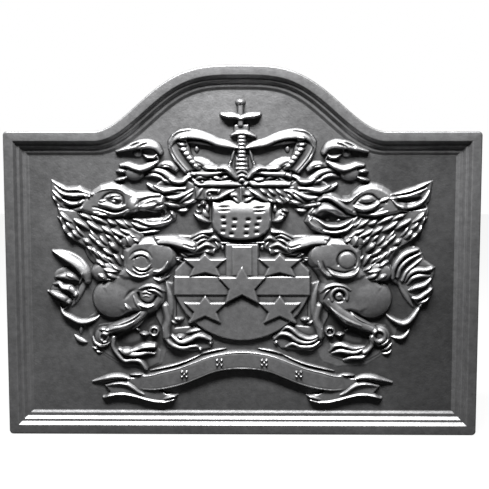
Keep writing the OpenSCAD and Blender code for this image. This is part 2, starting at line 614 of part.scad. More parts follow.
// The left half of the band's middle line: x, z and share of the width
ribbon_rows = [[-146, 68, 0.75], [-125, 67, 0.95], [-102, 70, 1], [-80, 75, 1], [-60, 84, 1], [-40, 91.5, 1],
    [-20, 96, 1], [0, 97.5, 1]];
ribbon_line = smooth(concat(ribbon_rows, [for (i = [len(ribbon_rows) - 2:-1:0]) let (r = ribbon_rows[i]) [-r[0], r[1], r[2]]]), 2);
ribbon_edge = 2;            // width of the ribbon's raised edges
edge_h = 1.2;               // height of the edges above the band
module ribbon_shape() along(ribbon_line, ribbon_w / 2);
module ribbon_centre() color(iron) {
    raised(ribbon_h) ribbon_shape();
    raised(ribbon_h + edge_h) difference() {
        ribbon_shape();
        along(ribbon_line, ribbon_w / 2 - ribbon_edge);
    }
}

tail_line = smooth([[-181, 54, 7], [-165, 58, 8.8], [-148, 57, 8], [-132, 50.5, 6.5], [-114, 46, 5], [-97, 45, 4.5],
    [-84, 48, 2.5]], 2);
lobe_line = smooth([[-190, 67.5, 2], [-175, 71.5, 4.6], [-160, 72, 5.5], [-147, 70, 5]], 2);
module ribbon_tail(side) color(iron) mirrored(side) difference() {
    union() {
        raised(ribbon_h * 0.7) along(tail_line);
        raised(ribbon_h * 0.7 + edge_h) difference() {
            along(tail_line);
            along(tail_line, 0.75);
        }
        raised(ribbon_h * 0.9) along(lobe_line);
    }
    block() offset(delta = seam) ribbon_shape();
}

rose_xs = [-74, -29, 29, 74];
petal_h = 1.4;
heart_h = 2.2;
function ribbon_at(x) = [for (q = ribbon_line) if (q[0] >= x) q][0];
module peg(x, z, r, h) translate([x, -front - ribbon_h, z]) rotate([90, 0, 0]) cylinder(r1 = r, r2 = r * 0.8, h = h, $fn = 24);
module ribbon_roses() color(iron) for (x = rose_xs) {
    at = ribbon_at(x);
    for (k = [0:rose_petals - 1]) let (a = 360 * k / rose_petals)
        peg(at[0] + rose_w * 0.28 * cos(a), at[1] + rose_w * 0.28 * sin(a), rose_w * 0.22, petal_h);
    peg(at[0], at[1], rose_w * 0.18, heart_h);
}

back_plate();
rim_top();
rim_bottom();
rim_left();
rim_right();
shield();
shield_band();
shield_pale();
centre_star();
outer_stars();
helmet();
helmet_collar();
helmet_leaves();
drapery();
crown_circlet();
crown_arch("left");  // crown_arch_left
crown_arch("right");  // crown_arch_right
crown_arch_centre();
crown_cross();
mantling("left");  // mantling_left
mantling("right");  // mantling_right
mantling_scroll("left");  // mantling_scroll_left
mantling_scroll("right");  // mantling_scroll_right
lion_head("left");  // lion_left_head
lion_mane("left");  // lion_left_mane
lion_body("left");  // lion_left_body
lion_foreleg("left");  // lion_left_foreleg
lion_hind_leg("left");  // lion_left_hind_leg
lion_far_leg("left");  // lion_left_far_leg
lion_tail("left");  // lion_left_tail
lion_tassel("left");  // lion_left_tassel
lion_head("right");  // lion_right_head
lion_mane("right");  // lion_right_mane
lion_body("right");  // lion_right_body
lion_foreleg("right");  // lion_right_foreleg
lion_hind_leg("right");  // lion_right_hind_leg
lion_far_leg("right");  // lion_right_far_leg
lion_tail("right");  // lion_right_tail
lion_tassel("right");  // lion_right_tassel
ribbon_centre();
ribbon_tail("left");  // ribbon_tail_left
ribbon_tail("right");  // ribbon_tail_right
ribbon_roses();
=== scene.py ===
# Cast-iron fireback with a carved coat of arms, dressed over its CAD frame.
# Lengths in the dictionaries are millimetres on the plate: x to the right, z up from the
# hearth, heights towards the viewer from the plate's field. The studio's are metres.
import math

import bpy
import numpy as np
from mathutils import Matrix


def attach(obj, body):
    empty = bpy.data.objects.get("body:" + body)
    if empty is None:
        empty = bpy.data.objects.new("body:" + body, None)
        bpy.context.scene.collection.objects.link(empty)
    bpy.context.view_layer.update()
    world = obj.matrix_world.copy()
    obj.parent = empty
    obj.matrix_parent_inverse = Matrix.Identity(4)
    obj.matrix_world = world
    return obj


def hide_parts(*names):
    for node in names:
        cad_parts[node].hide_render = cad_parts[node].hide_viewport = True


mm = 0.001
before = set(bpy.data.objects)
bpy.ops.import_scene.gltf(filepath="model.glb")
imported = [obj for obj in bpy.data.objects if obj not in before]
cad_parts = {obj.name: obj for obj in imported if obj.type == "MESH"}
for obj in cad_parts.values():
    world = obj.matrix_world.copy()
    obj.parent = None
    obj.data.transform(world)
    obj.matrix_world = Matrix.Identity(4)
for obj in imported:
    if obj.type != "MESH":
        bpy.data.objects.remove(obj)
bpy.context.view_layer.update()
print("frame loaded:", len(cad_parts), "nodes")

studio = {
    "cameraPlace": (0.0190, -1.2748, 0.3738),
    "cameraTurn": (84.19, 0.0, 0.72),     # degrees
    "lens": 73.6, "sensor": 36,
    "lampPlace": (-0.14, -0.75, 1.64),    # one soft lamp above the top edge rakes down the relief
    "lampAim": (0.0, 0.0, 0.18), "lampSize": (1.1, 0.28), "lampPower": 138.0,
    "rearPlaces": [(0.9, 1.1, 0.9), (-1.3, 0.5, 0.7)],     # two behind the plate, for its back and sides
    "rearAim": (0, 0, 0.2), "rearSize": (0.8, 0.8), "rearPower": 7.0,
    "fill": 0.005,                        # the room's light, apart from what the camera sees
    "sheen": 0.007,                       # how bright the white room stands in reflections
    "floorHalf": 4, "floorDrop": 0.0006,
    "floorUnseen": 0.02,                  # its tone to all but the camera, so that it throws little light
    "floorPaint": 0.8, "floorGlow": 0.97, "floorShare": 0.94,     # what the camera sees, and the glow's share
}


# An object in the scene, at the origin
def addObject(name, data):
    thing = bpy.data.objects.new(name, data)
    bpy.context.collection.objects.link(thing)
    return thing


# A shader node of one kind, with some of its sockets set
def addNode(tree, kind, values=None):
    node = tree.nodes.new("ShaderNode" + kind)
    for socket, value in (values or {}).items():
        node.inputs[socket].default_value = value
    return node


# An area lamp whose turn comes from the two angles of the line from its place to its aim
def aimedLamp(name, place, aim, wide, deep, power):
    lamp = bpy.data.lights.new(name, "AREA")
    lamp.shape = "RECTANGLE"
    lamp.size, lamp.size_y = wide, deep
    lamp.energy = power
    holder = addObject(name, lamp)
    holder.location = place
    way = [a - p for a, p in zip(aim, place)]
    flat = math.hypot(way[0], way[1])
    holder.rotation_euler = (math.atan2(flat, -way[2]), 0, math.atan2(-way[0], way[1]))
    holder.visible_camera = False


# The camera and the lamps
def makeStudio(s=studio):
    camera = addObject("camera", bpy.data.cameras.new("camera"))
    camera.location = s["cameraPlace"]
    camera.rotation_euler = [math.radians(a) for a in s["cameraTurn"]]
    camera.data.lens = s["lens"]
    camera.data.sensor_width = s["sensor"]
    bpy.context.scene.camera = camera
    bpy.context.scene.view_settings.view_transform = "Standard"
    aimedLamp("topLamp", s["lampPlace"], s["lampAim"], *s["lampSize"], s["lampPower"])
    for k, place in enumerate(s["rearPlaces"]):
        aimedLamp("rearLamp%d" % k, place, s["rearAim"], *s["rearSize"], s["rearPower"])


# White for the camera, dimmer in reflections, and a low even light for all else: the strength
# goes from fill to 1 with the camera ray plus a small share of the glossy ray
def makeRoom(s=studio):
    world = bpy.data.worlds.new("room")
    bpy.context.scene.world = world
    world.use_nodes = True
    tree = world.node_tree
    sky = tree.nodes["Background"]
    sky.inputs["Color"].default_value = (1, 1, 1, 1)
    seen = addNode(tree, "LightPath")
    strength = addNode(tree, "MapRange", {"To Min": s["fill"], "To Max": 1})
    reflected = addNode(tree, "Math", {1: (s["sheen"] - s["fill"]) / (1 - s["fill"])})
    reflected.operation = "MULTIPLY_ADD"
    tree.links.new(seen.outputs["Is Glossy Ray"], reflected.inputs[0])
    tree.links.new(seen.outputs["Is Camera Ray"], reflected.inputs[2])
    tree.links.new(reflected.outputs[0], strength.inputs["Value"])
    tree.links.new(strength.outputs[0], sky.inputs["Strength"])


# A square floor that shows white to the camera and takes a faint shadow
def makeFloor(s=studio):
    size, level = s["floorHalf"], -s["floorDrop"]
    mesh = bpy.data.meshes.new("floor")
    corners = ((-1, -1), (1, -1), (1, 1), (-1, 1))
    mesh.from_pydata([(x * size, y * size, level) for x, y in corners], [], [(0, 1, 2, 3)])
    floor = addObject("floor", mesh)
    paint = bpy.data.materials.new("paleFloor")
    paint.use_nodes = True
    tree = paint.node_tree
    tree.nodes.clear()
    out = addNode(tree, "OutputMaterial")
    matt = addNode(tree, "BsdfDiffuse", {"Color": (s["floorUnseen"],) * 3 + (1,)})
    glow = addNode(tree, "Emission", {"Color": (1, 1, 1, 1), "Strength": s["floorGlow"]})
    pale = addNode(tree, "BsdfDiffuse", {"Color": (s["floorPaint"],) * 3 + (1,)})
    shown, pick = addNode(tree, "MixShader", {0: s["floorShare"]}), addNode(tree, "MixShader")
    seen = addNode(tree, "LightPath")
    tree.links.new(pale.outputs[0], shown.inputs[1])
    tree.links.new(glow.outputs[0], shown.inputs[2])
    tree.links.new(seen.outputs["Is Camera Ray"], pick.inputs[0])
    tree.links.new(matt.outputs[0], pick.inputs[1])
    tree.links.new(shown.outputs[0], pick.inputs[2])
    tree.links.new(pick.outputs[0], out.inputs["Surface"])
    mesh.materials.append(paint)


makeStudio()
makeRoom()
makeFloor()
print("studio ready")

iron = {
    "plate": (0.155, 0.52, 1.00),         # tone, roughness, strength of the cast skin
    "rim": (0.17, 0.50, 0.80),
    "relief": (0.22, 0.50, 0.65),
    "metal": 0.9, "blue": 1.015,          # blue's share over red and green
    "clouds": (9, 4, 0.55), "blotches": (130, 3, 0.6),     # four noises: scale, detail, roughness
    "pits": (380, 2, 0.5), "grain": (900, 3, 0.6),
    "cloudTone": (0.88, 1.12), "blotchTone": (0.84, 1.16), "grainTone": (0.90, 1.10),
    "toneRange": (0.3, 0.7), "skinRange": (0.25, 0.75),     # noise at the two ends of a tone, and of the skin
    "grainSkin": 0.35, "pitSkin": 0.65, "blotchSkin": 1.1, "skinHigh": 0.25, "skinBump": 0.5,
    "shadeToWearTone": (0.22, 1.7),              # from painted shade in the deepest hollow to the crest that is rubbed most
    "wornGloss": (0.10, -0.08), "cloudGloss": (-0.04, 0.05),     # added to the roughness
    "paintedShadeRight": (0.0, 0.25, 0.86, 0.52),     # the field's tone from the middle to near the right side, painted shade darker to the right
    "paintedLightTop": (0.34, 0.41, 1.0, 1.42),    # and painted light, brighter from below the arch to its crown, in metres
}


# Grey iron: its tone is the product of broad clouds, blotches and fine grain, and of the wear and painted shade
# on a worn piece, or of two slow drifts of painted light and shade on the field; the skin is the sum of three
# noises
def castIron(name, tone, rough, skin, wornAndShaded, i=iron):
    paint = bpy.data.materials.new(name)
    paint.use_nodes = True
    tree = paint.node_tree
    shader = tree.nodes["Principled BSDF"]
    shader.inputs["Metallic"].default_value = i["metal"]
    place = addNode(tree, "TexCoord")

    def noise(scale, detail, roughness):     # a cloud of noise in the object's own space
        n = addNode(tree, "TexNoise", {"Scale": scale, "Detail": detail, "Roughness": roughness})
        tree.links.new(place.outputs["Object"], n.inputs["Vector"])
        return n.outputs["Fac"]

    def ranged(source, lowIn, highIn, lowOut, highOut):     # a straight line, held level past its ends
        n = addNode(tree, "MapRange", {"From Min": lowIn, "From Max": highIn,
                                       "To Min": lowOut, "To Max": highOut})
        tree.links.new(source, n.inputs["Value"])
        return n.outputs[0]

    def joined(kind, a, b):     # the sum or product of two sources, or of a source and a number
        n = addNode(tree, "Math")
        n.operation = kind
        for k, v in enumerate((a, b)):
            if isinstance(v, (int, float)):
                n.inputs[k].default_value = v
            else:
                tree.links.new(v, n.inputs[k])
        return n.outputs[0]

    clouds, blotches, pits, grain = (noise(*i[key]) for key in ("clouds", "blotches", "pits", "grain"))
    shade = joined("MULTIPLY", ranged(clouds, *i["toneRange"], *i["cloudTone"]),
                   ranged(grain, *i["toneRange"], *i["grainTone"]))
    shade = joined("MULTIPLY", shade, ranged(blotches, *i["toneRange"], *i["blotchTone"]))
    if wornAndShaded:
        # this attribute lightens rubbed crests as wear, and darkens hollows and the field between high carving as
        # painted shade
        wearAndShade = addNode(tree, "Attribute")
        wearAndShade.attribute_name = "wearAndShade"
        shade = joined("MULTIPLY", shade, ranged(wearAndShade.outputs["Fac"], 0, 1, *i["shadeToWearTone"]))
        gloss = ranged(wearAndShade.outputs["Fac"], 0, 1, *(rough + more for more in i["wornGloss"]))
    else:
        gloss = ranged(clouds, *i["toneRange"], *(rough + more for more in i["cloudGloss"]))
        # two drifts on the field: painted shade darker towards the right side, painted light brighter under the
        # arch's crown
        split = addNode(tree, "SeparateXYZ")
        tree.links.new(place.outputs["Object"], split.inputs[0])
        for axis, key in (("X", "paintedShadeRight"), ("Z", "paintedLightTop")):
            drift = ranged(split.outputs[axis], *i[key])
            drift.node.interpolation_type = "SMOOTHSTEP"
            shade = joined("MULTIPLY", shade, drift)
    tree.links.new(gloss, shader.inputs["Roughness"])
    tint = addNode(tree, "Mix")     # twice the tone at full, so that the shade can go over 1
    tint.data_type = "RGBA"
    tint.inputs["A"].default_value = (0, 0, 0, 1)
    tint.inputs["B"].default_value = (2 * tone, 2 * tone, 2 * i["blue"] * tone, 1)
    tree.links.new(joined("MULTIPLY", shade, 0.5), tint.inputs["Factor"])
    tree.links.new(tint.outputs["Result"], shader.inputs["Base Color"])
    relief = joined("ADD", ranged(grain, *i["skinRange"], 0, i["grainSkin"]),
                    ranged(pits, *i["skinRange"], 0, i["pitSkin"]))
    relief = joined("ADD", relief, ranged(blotches, *i["skinRange"], 0, i["blotchSkin"]))
    bump = addNode(tree, "Bump", {"Strength": i["skinBump"] * skin, "Distance": i["skinHigh"] * mm})
    tree.links.new(relief, bump.inputs["Height"])
    tree.links.new(bump.outputs["Normal"], shader.inputs["Normal"])
    return paint


plateIron = castIron("plateIron", *iron["plate"], wornAndShaded=False)
rimIron = castIron("rimIron", *iron["rim"], wornAndShaded=True)
reliefIron = castIron("reliefIron", *iron["relief"], wornAndShaded=True)
print("iron ready")


# One piece from its points in millimetres and its faces; sharp tells from the ends of every
# edge whether it stays sharp, and its wear and painted shade is a number for each point
def castMesh(node, points, faces, sharp, paint, wearAndShade=None):
    mesh = bpy.data.meshes.new(node + "_cast")
    mesh.from_pydata((points * mm).tolist(), [], faces)
    mesh.shade_smooth()
    mesh.update(calc_edges=True)
    ends = np.empty(len(mesh.edges) * 2, dtype=np.int64)
    mesh.edges.foreach_get("vertices", ends)
    mesh.attributes.new("sharp_edge", "BOOLEAN", "EDGE").data.foreach_set("value", sharp(ends.reshape(-1, 2)))
    if wearAndShade is not None:
        mesh.attributes.new("wearAndShade", "FLOAT", "POINT").data.foreach_set("value", wearAndShade.astype(np.float32))
    mesh.materials.append(paint)
    return addObject(node + "_cast", mesh)


plate = {
    "width": 600, "side": 388, "rise": 82, "archHalf": 184, "archX": -3, "archPower": 1.6,
    "thick": 10, "corner": 5, "backEdge": 1.5,
    "archPoints": 260, "level": 8,        # how far past the arch the shoulders count as level
    "start": 0.5, "least": 0.15,          # from a corner to the arch's first point; a corner's least radius
}
halfWide, sideHigh, cornerRound = plate["width"] / 2, plate["side"], plate["corner"]


# Level shoulders and an arch: half a cosine wave whose run is bent by a power
def outlineZ(x, p=plate):
    t = np.minimum(np.abs(x - p["archX"]) / p["archHalf"], 1)
    return p["side"] + p["rise"] * (1 + np.cos(np.pi * t ** p["archPower"])) / 2


rim = {
    "width": 29.8, "high": 10,
    "slopes": [(12.2, 16.2, 5.6), (19.0, 22.7, 1.9), (26.4, 29.8, 0)],     # start, end and level below
    "crown": 0.5, "soft": 0.45, "edge": 1.9, "seat": 0.4,     # bow, blur, outer radius, depth in the plate
    "pitch": 0.45, "edgeTurn": [0, 15, 30, 45, 60, 75],       # rows of the mesh
    "fine": 0.05, "blurHalf": 40, "past": 3,                  # step, half count and margin of the blur
    "rub": 0.6,                                               # how fast wear grows with an outward bend, and painted shade with an inward one
}


# Rows of distance in from the outer edge and height: a fillet bowed as a parabola and three
# steps down, blurred with a bell curve to soften each edge
def rimProfile(r=rim):
    fine = np.arange(-r["past"], r["width"] + r["past"], r["fine"])
    first = r["slopes"][0][0]
    at, high = [-r["past"], first], [r["high"], r["high"]]
    for start, end, level in r["slopes"]:
        at += [start, end]
        high += [high[-1], level]
    bow = r["crown"] * np.clip(1 - fine / first, 0, 1) ** 2
    sharp = np.interp(fine, at, high) - bow
    reach = np.arange(-r["blurHalf"], r["blurHalf"] + 1) * r["fine"]
    blur = np.exp(-(reach / r["soft"]) ** 2)
    soft = np.convolve(np.pad(sharp, r["blurHalf"], mode="edge"), blur / blur.sum(), mode="valid")
    e = r["edge"]
    inner = r["width"] + 2 * r["pitch"]
    rows = np.concatenate([np.arange(e, inner - 0.1, r["pitch"]), [inner]])
    shown = np.stack([rows, np.interp(rows, fine, soft)], axis=1)
    turn = np.radians(np.array(r["edgeTurn"]))
    edge = np.stack([e - e * np.cos(turn), shown[0, 1] - e + e * np.sin(turn)], axis=1)
    foot = np.array([[inner, -r["seat"]], [2, -r["seat"]], [0, 0]])
    return np.concatenate([edge, shown, foot])


# Rows of corner x and z with a direction: the quarter turn of a rounded corner, as angles in degrees
def cornerPath(x, z, start, end, count=5):
    turn = np.radians(np.linspace(start, end, count))
    return np.stack([np.full(count, x), np.full(count, z), np.cos(turn), np.sin(turn)], axis=1)


# Places of a rounded corner's points, set in by a distance: the radius shrinks to nearly nothing
def cornerAt(rows, inset, radius=cornerRound):
    left = np.maximum(radius - inset, plate["least"])
    inX, inZ = -np.sign(rows[:, 0]), np.where(rows[:, 1] > 1, -1.0, 1.0)
    x = rows[:, 0] + inX * (inset + left) + left * rows[:, 2]
    z = rows[:, 1] + inZ * (inset + left) + left * rows[:, 3]
    return np.stack([x, z], axis=1)


# The top edge from mitre to mitre: the arch moves in along its normals, and the level shoulders shorten
def ringTop(inset, p=plate):
    reach = halfWide - p["start"]
    xs = np.linspace(-reach + cornerRound, reach - cornerRound, p["archPoints"])
    slope = outlineZ(xs + 0.5) - outlineZ(xs - 0.5)
    size = np.hypot(1, slope)
    x, z = xs + inset * slope / size, outlineZ(xs) - inset / size
    level = p["archHalf"] + p["level"]
    shorter = (reach - max(inset, cornerRound) - level) / (reach - cornerRound - level)
    x = np.where(np.abs(xs) > level, np.sign(xs) * (level + (np.abs(xs) - level) * shorter), x)
    left = cornerAt(cornerPath(-halfWide, sideHigh, 135, 90), inset)
    right = cornerAt(cornerPath(halfWide, sideHigh, 90, 45), inset)
    return np.concatenate([left, np.stack([x, z], axis=1), right])


# The two quarter turns that end each straight edge: a corner of the plate and the angles it runs through
edgeCorners = {
    "left": [(-halfWide, 0, 225, 180), (-halfWide, sideHigh, 180, 135)],
    "right": [(halfWide, sideHigh, 45, 0), (halfWide, 0, 360, 315)],
    "bottom": [(halfWide, 0, 315, 270), (-halfWide, 0, 270, 225)],
}


# A straight edge from mitre to mitre, as a function of how far it is set in
def straightRing(edge):
    corners = [cornerPath(*corner) for corner in edgeCorners[edge]]
    return lambda inset: np.concatenate([cornerAt(corner, inset) for corner in corners])


# The whole edge, clockwise from the top left corner, set in by a distance
def edgeRing(inset):
    runs = [ringTop(inset)] + [straightRing(edge)(inset) for edge in ("right", "bottom", "left")]
    return np.concatenate([run[:-1] for run in runs])


# Faces of a tube closed at both ends: each ring of points is joined to the next, and the first
# and last are filled; turned is for rings that run the other way round
def tubeFaces(rings, count, turned=False):
    i, j = np.meshgrid(np.arange(rings - 1), np.arange(count), indexing="ij")
    a, b = (i * count + j).ravel(), (i * count + (j + 1) % count).ravel()
    first, last = np.arange(count), (rings - 1) * count + np.arange(count)
    walls, caps = [a, b, b + count, a + count], [first[::-1], last]
    if turned:
        walls, caps = [a, a + count, b + count, b], [first, last[::-1]]
    return np.stack(walls, axis=1).tolist() + [cap.tolist() for cap in caps]


# Whether each edge lies on the first or the last ring
def onCap(ends, rings, count):
    ring = ends // count
    return (ring[:, 0] == ring[:, 1]) & np.isin(ring[:, 0], (0, rings - 1))


# The rim's profile carried along its edge: makeRing gives the edge's points, set in by a distance.
# Wear grows where the profile bends outwards, and painted shade darkens it where it bends inwards
def sweptRim(name, makeRing):
    section = rimProfile()
    rings = np.stack([makeRing(inset) for inset in section[:, 0]], axis=1)     # along, section, xz
    along, count = rings.shape[:2]
    y = np.broadcast_to(-(plate["thick"] + section[:, 1]), (along, count))
    points = np.stack([rings[..., 0], y, rings[..., 1]], axis=-1).reshape(-1, 3)
    # wear on the outward bends, painted shade in the creases of the inward ones
    wearAndShade = np.clip(0.5 - rim["rub"] * np.gradient(np.gradient(section[:, 1], 1), 1), 0, 1)
    wearAndShade[-3:] = 0.5     # the foot

    def sharp(ends):     # the mitred ends, and the rows of the foot from end to end
        place = ends % count
        return onCap(ends, along, count) | (place[:, 0] == place[:, 1]) & (place[:, 0] >= count - 4)

    piece = castMesh(name, points, tubeFaces(along, count), sharp, rimIron, np.tile(wearAndShade, along))
    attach(piece, "root")
    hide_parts(name)


# The edge carried from the front to the back, whose corner is rounded, and closed by two flat faces
def makePlate(p=plate):
    turn = np.radians(np.array([0, 30, 60, 90]))
    insets = np.concatenate([[0], p["backEdge"] * (1 - np.cos(turn))])
    depths = np.concatenate([[-p["thick"]], -p["backEdge"] * (1 - np.sin(turn))])
    edges = [edgeRing(inset) for inset in insets]
    n, rings = len(edges[0]), len(edges)
    points = np.concatenate([np.column_stack([e[:, 0], np.full(n, y), e[:, 1]])
                             for e, y in zip(edges, depths)])
    piece = castMesh("back_plate", points, tubeFaces(rings, n, turned=True),
                     lambda ends: onCap(ends, rings, n), plateIron)
    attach(piece, "root")
    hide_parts("back_plate")


makePlate()
sweptRim("rim_top", ringTop)
for edge in ("left", "right", "bottom"):
    sweptRim("rim_" + edge, straightRing(edge))
print("plate and rim cast")

# The relief is carved as one sheet of heights over the field: every piece raises its own part
# of it, and each cell goes to the piece that stands highest there
sheet = {
    "step": 0.7, "left": -268, "right": 268, "foot": 32, "top": 434,
    "nothing": -6.0,                      # the height of a cell that no piece has raised
    "under": 1.3, "most": 13.2,           # how far a piece goes into the plate, and the highest it stands
    "pitch": 1.5,                         # a ridge on a mass is never higher than this times half its width
}
sheetX = np.arange(sheet["left"], sheet["right"] + 0.01, sheet["step"], dtype=np.float32)
sheetZ = np.arange(sheet["foot"], sheet["top"] + 0.01, sheet["step"], dtype=np.float32)


# A sheet on which nothing stands yet
def emptySheet():
    return np.full((len(sheetZ), len(sheetX)), sheet["nothing"], dtype=np.float32)


# The part of the sheet within reach of some points, and the x and z of its cells
def windowOver(x, z, reach):
    i0, i1 = np.searchsorted(sheetX, [np.min(x) - reach, np.max(x) + reach])
    j0, j1 = np.searchsorted(sheetZ, [np.min(z) - reach, np.max(z) + reach])
    part = (slice(j0, max(j1, j0 + 1)), slice(i0, max(i1, i0 + 1)))
    return part, sheetX[part[1]][None, :], sheetZ[part[0]][:, None]


# A smooth curve through the points: a cubic between each two, whose slope at a point is that of
# the line between its neighbours
def smoothRow(points, steps=6):
    p = np.asarray(points, dtype=float)
    if len(p) == 2:
        return p[0] + (p[1] - p[0]) * np.linspace(0, 1, 5)[:, None]
    q = np.concatenate([[2 * p[0] - p[1]], p, [2 * p[-1] - p[-2]]])
    a, b, c, d = q[:-3], q[1:-2], q[2:-1], q[3:]
    t = np.linspace(0, 1, steps, endpoint=False)[None, :, None]
    a, b, c, d = a[:, None], b[:, None], c[:, None], d[:, None]
    run = 2 * b + (c - a) * t + (2 * a - 5 * b + 4 * c - d) * t ** 2 + (3 * b - a - 3 * c + d) * t ** 3
    run = 0.5 * run
    return np.concatenate([run.reshape(-1, p.shape[1]), p[-1:]])


# How a row's width and height fall off, as shares at even places from its start to its end
tapers = {
    "none": [1, 1],
    "both": [0.30, 0.72, 0.95, 1, 0.95, 0.72, 0.30],
    "tip": [0.85, 1, 1, 0.92, 0.75, 0.5, 0.2],
    "root": [0.2, 0.5, 0.75, 0.92, 1, 1, 0.85],
    "lock": [0.45, 0.85, 1, 0.95, 0.8, 0.55, 0.2],
}


# The smooth row, its half width and its share of the full size, by the length run so far
def alongRow(points, wide, taper):
    row = smoothRow(points)
    size = np.concatenate([[0], np.cumsum(np.hypot(*np.diff(row, axis=0).T))])
    shape = tapers[taper] if isinstance(taper, str) else taper
    share = np.interp(size / size[-1], np.linspace(0, 1, len(shape)), shape)
    return row, wide * share, share


# Distance from each cell to the line between two points, and the share of it run at the nearest
# place, which is the foot of the perpendicular or an end
def toSegment(a, b, x, z):
    d = b - a
    t = np.clip(((x - a[0]) * d[0] + (z - a[1]) * d[1]) / max(d @ d, 1e-9), 0, 1)
    return np.hypot(x - a[0] - t * d[0], z - a[1] - t * d[1]), t


# Distance from each cell to the row, above zero on its upper side, how level the row is there,
# and the place along it in segments: what is told by the nearest segment
def nearestOnRow(row, x, z):
    best = np.full(np.broadcast(x, z).shape, 1e6, dtype=np.float32)
    place, hand, level = np.zeros_like(best), np.ones_like(best), np.zeros_like(best)
    for k, (a, b) in enumerate(zip(row[:-1], row[1:])):
        d = b - a
        away, t = toSegment(a, b, x, z)
        closer = away < best
        best = np.where(closer, away, best)
        place = np.where(closer, k + t, place)
        up = 1 if d[0] >= 0 else -1
        hand = np.where(closer, np.where(up * (d[0] * (z - a[1]) - d[1] * (x - a[0])) < 0, -1, 1), hand)
        level = np.where(closer, abs(d[0]) / max(np.hypot(*d), 1e-6), level)
    return best * hand, level, place


# Raises a shape on the base, if there is one: the higher of the old surface and the new one, with a
# small fillet where they cross, which is the square of how near they are
def raiseShape(relief, part, shape, blend, base=None):
    new = (shape if base is None else shape + base[part]).astype(np.float32)
    fillet = np.maximum(blend - np.abs(relief[part] - new), 0)
    relief[part] = np.maximum(relief[part], new) + fillet ** 2 / (4 * blend)


# A rounded ridge along a row: an ellipse in section, its walls no steeper than steep and
# running on below what it stands on. A higher full makes it keener, and lean lowers its crest
# where the row is level
def ridge(relief, base, points, wide, high, taper="both", steep=2.6, blend=0.7, full=0.5, lean=0.55):
    row, half, share = alongRow(points, wide, taper)
    part, x, z = windowOver(row[:, 0], row[:, 1], wide + 3)
    away, level, place = nearestOnRow(row, x, z)
    w = np.interp(place, np.arange(len(row)), half)
    h = high * (0.45 + 0.55 * np.interp(place, np.arange(len(row)), share))
    if base is not None:
        h = np.minimum(h, sheet["pitch"] * w)
    low = lean * level
    s = away / w + low
    u = np.clip(np.abs(s) / np.where(s > 0, 1 + low, 1 - low), 0, 1)
    raiseShape(relief, part, np.minimum(h * (1 - u ** 2) ** full, steep * (w - np.abs(away))), blend, base)


# A dome over an ellipse, turned by some degrees: one less the squared distance from its middle,
# to the power full
def mound(relief, base, x0, z0, rx, rz, high, turn=0, full=0.5, steep=2.2, blend=1.2):
    part, x, z = windowOver([x0], [z0], max(rx, rz) + 3)
    c, s = math.cos(math.radians(turn)), math.sin(math.radians(turn))
    u, v = (x - x0) * c + (z - z0) * s, (z - z0) * c - (x - x0) * s
    r = np.sqrt((u / rx) ** 2 + (v / rz) ** 2)
    shape = np.minimum(high * np.clip(1 - r ** 2, 0, 1) ** full, steep * (1 - r) * min(rx, rz))
    raiseShape(relief, part, shape, blend, base)


# Distance from each cell to a closed outline, above zero inside it: a cell is inside where a
# level line from it crosses the outline an odd number of times
def insideOutline(points, x, z):
    best = np.full(np.broadcast(x, z).shape, 1e6)
    within = np.zeros(best.shape, dtype=bool)
    for a, b in zip(points, np.roll(points, -1, axis=0)):
        best = np.minimum(best, toSegment(a, b, x, z)[0])
        if a[1] != b[1]:
            within ^= ((a[1] > z) != (b[1] > z)) & (x < a[0] + (z - a[1]) * (b[0] - a[0]) / (b[1] - a[1]))
    return np.where(within, best, -best)


# A flat-topped shape with sloped walls and a rounded edge; the outline lies halfway up
# the part of the wall that stands above foot
def slab(relief, points, high, steep=2.4, soft=0.8, blend=0.5, foot=0.0):
    p = np.asarray(points, dtype=float)
    part, x, z = windowOver(p[:, 0], p[:, 1], 3 + high / steep)
    wall = steep * insideOutline(p, x, z) + (high + foot) / 2
    gap = np.maximum(soft - np.abs(wall - high), 0)
    raiseShape(relief, part, np.minimum(wall, high) - gap ** 2 / (4 * soft), blend)


# A soft channel cut along a row, a bell curve in section
def groove(relief, points, wide, deep, taper="both"):
    row, _, share = alongRow(points, wide, taper)
    part, x, z = windowOver(row[:, 0], row[:, 1], 3 * wide)
    away, _, place = nearestOnRow(row, x, z)
    fade = np.interp(place, np.arange(len(row)), share)
    cut = deep * fade * np.exp(-(away / wide) ** 2)
    relief[part] -= np.where(relief[part] > 0, cut, 0).astype(np.float32)


# Points on a circle from one angle to another, in degrees
def ringRow(x, z, radius, start, end, squash=1.0, count=9):
    a = np.radians(np.linspace(start, end, count))
    return np.stack([x + radius * np.cos(a), z + radius * squash * np.sin(a)], axis=1).tolist()


# Works through one piece's list, with x turned over for the right-hand side. A line that starts
# with its points is a ridge: points, half width, height, then its taper. Any other names its tool
# first: a cut is given as a ridge is, a ring or ringCut has a middle, radius and two angles for
# its points, a mound its middle, two half widths and height, and a slab its outline and height.
# What differs from a tool's own measures is named in the last place, and what follows an over
# line stands on what is there by then
def carve(relief, work, side=1):
    base = None
    for line in work:
        tool, *rest = line if isinstance(line[0], str) else ("ridge", *line)
        named = rest.pop() if rest and isinstance(rest[-1], dict) else {}
        if tool in ("ring", "ringCut"):
            tool, rest = {"ring": "ridge", "ringCut": "cut"}[tool], [ringRow(*rest[:5])] + rest[5:]
        if tool in ("ridge", "cut", "slab"):
            rest[0] = [(side * x, z) for x, z in rest[0]]
        if tool == "over":
            base = np.maximum(relief, 0)
        elif tool == "ridge":
            ridge(relief, base, *rest, **named)
        elif tool == "mound":
            mound(relief, base, side * rest[0], *rest[1:], **{**named, "turn": side * named.get("turn", 0)})
        elif tool == "slab":
            slab(relief, *rest, **named)
        elif tool == "cut":
            groove(relief, *rest)


pieces = {}     # the carved sheets by node


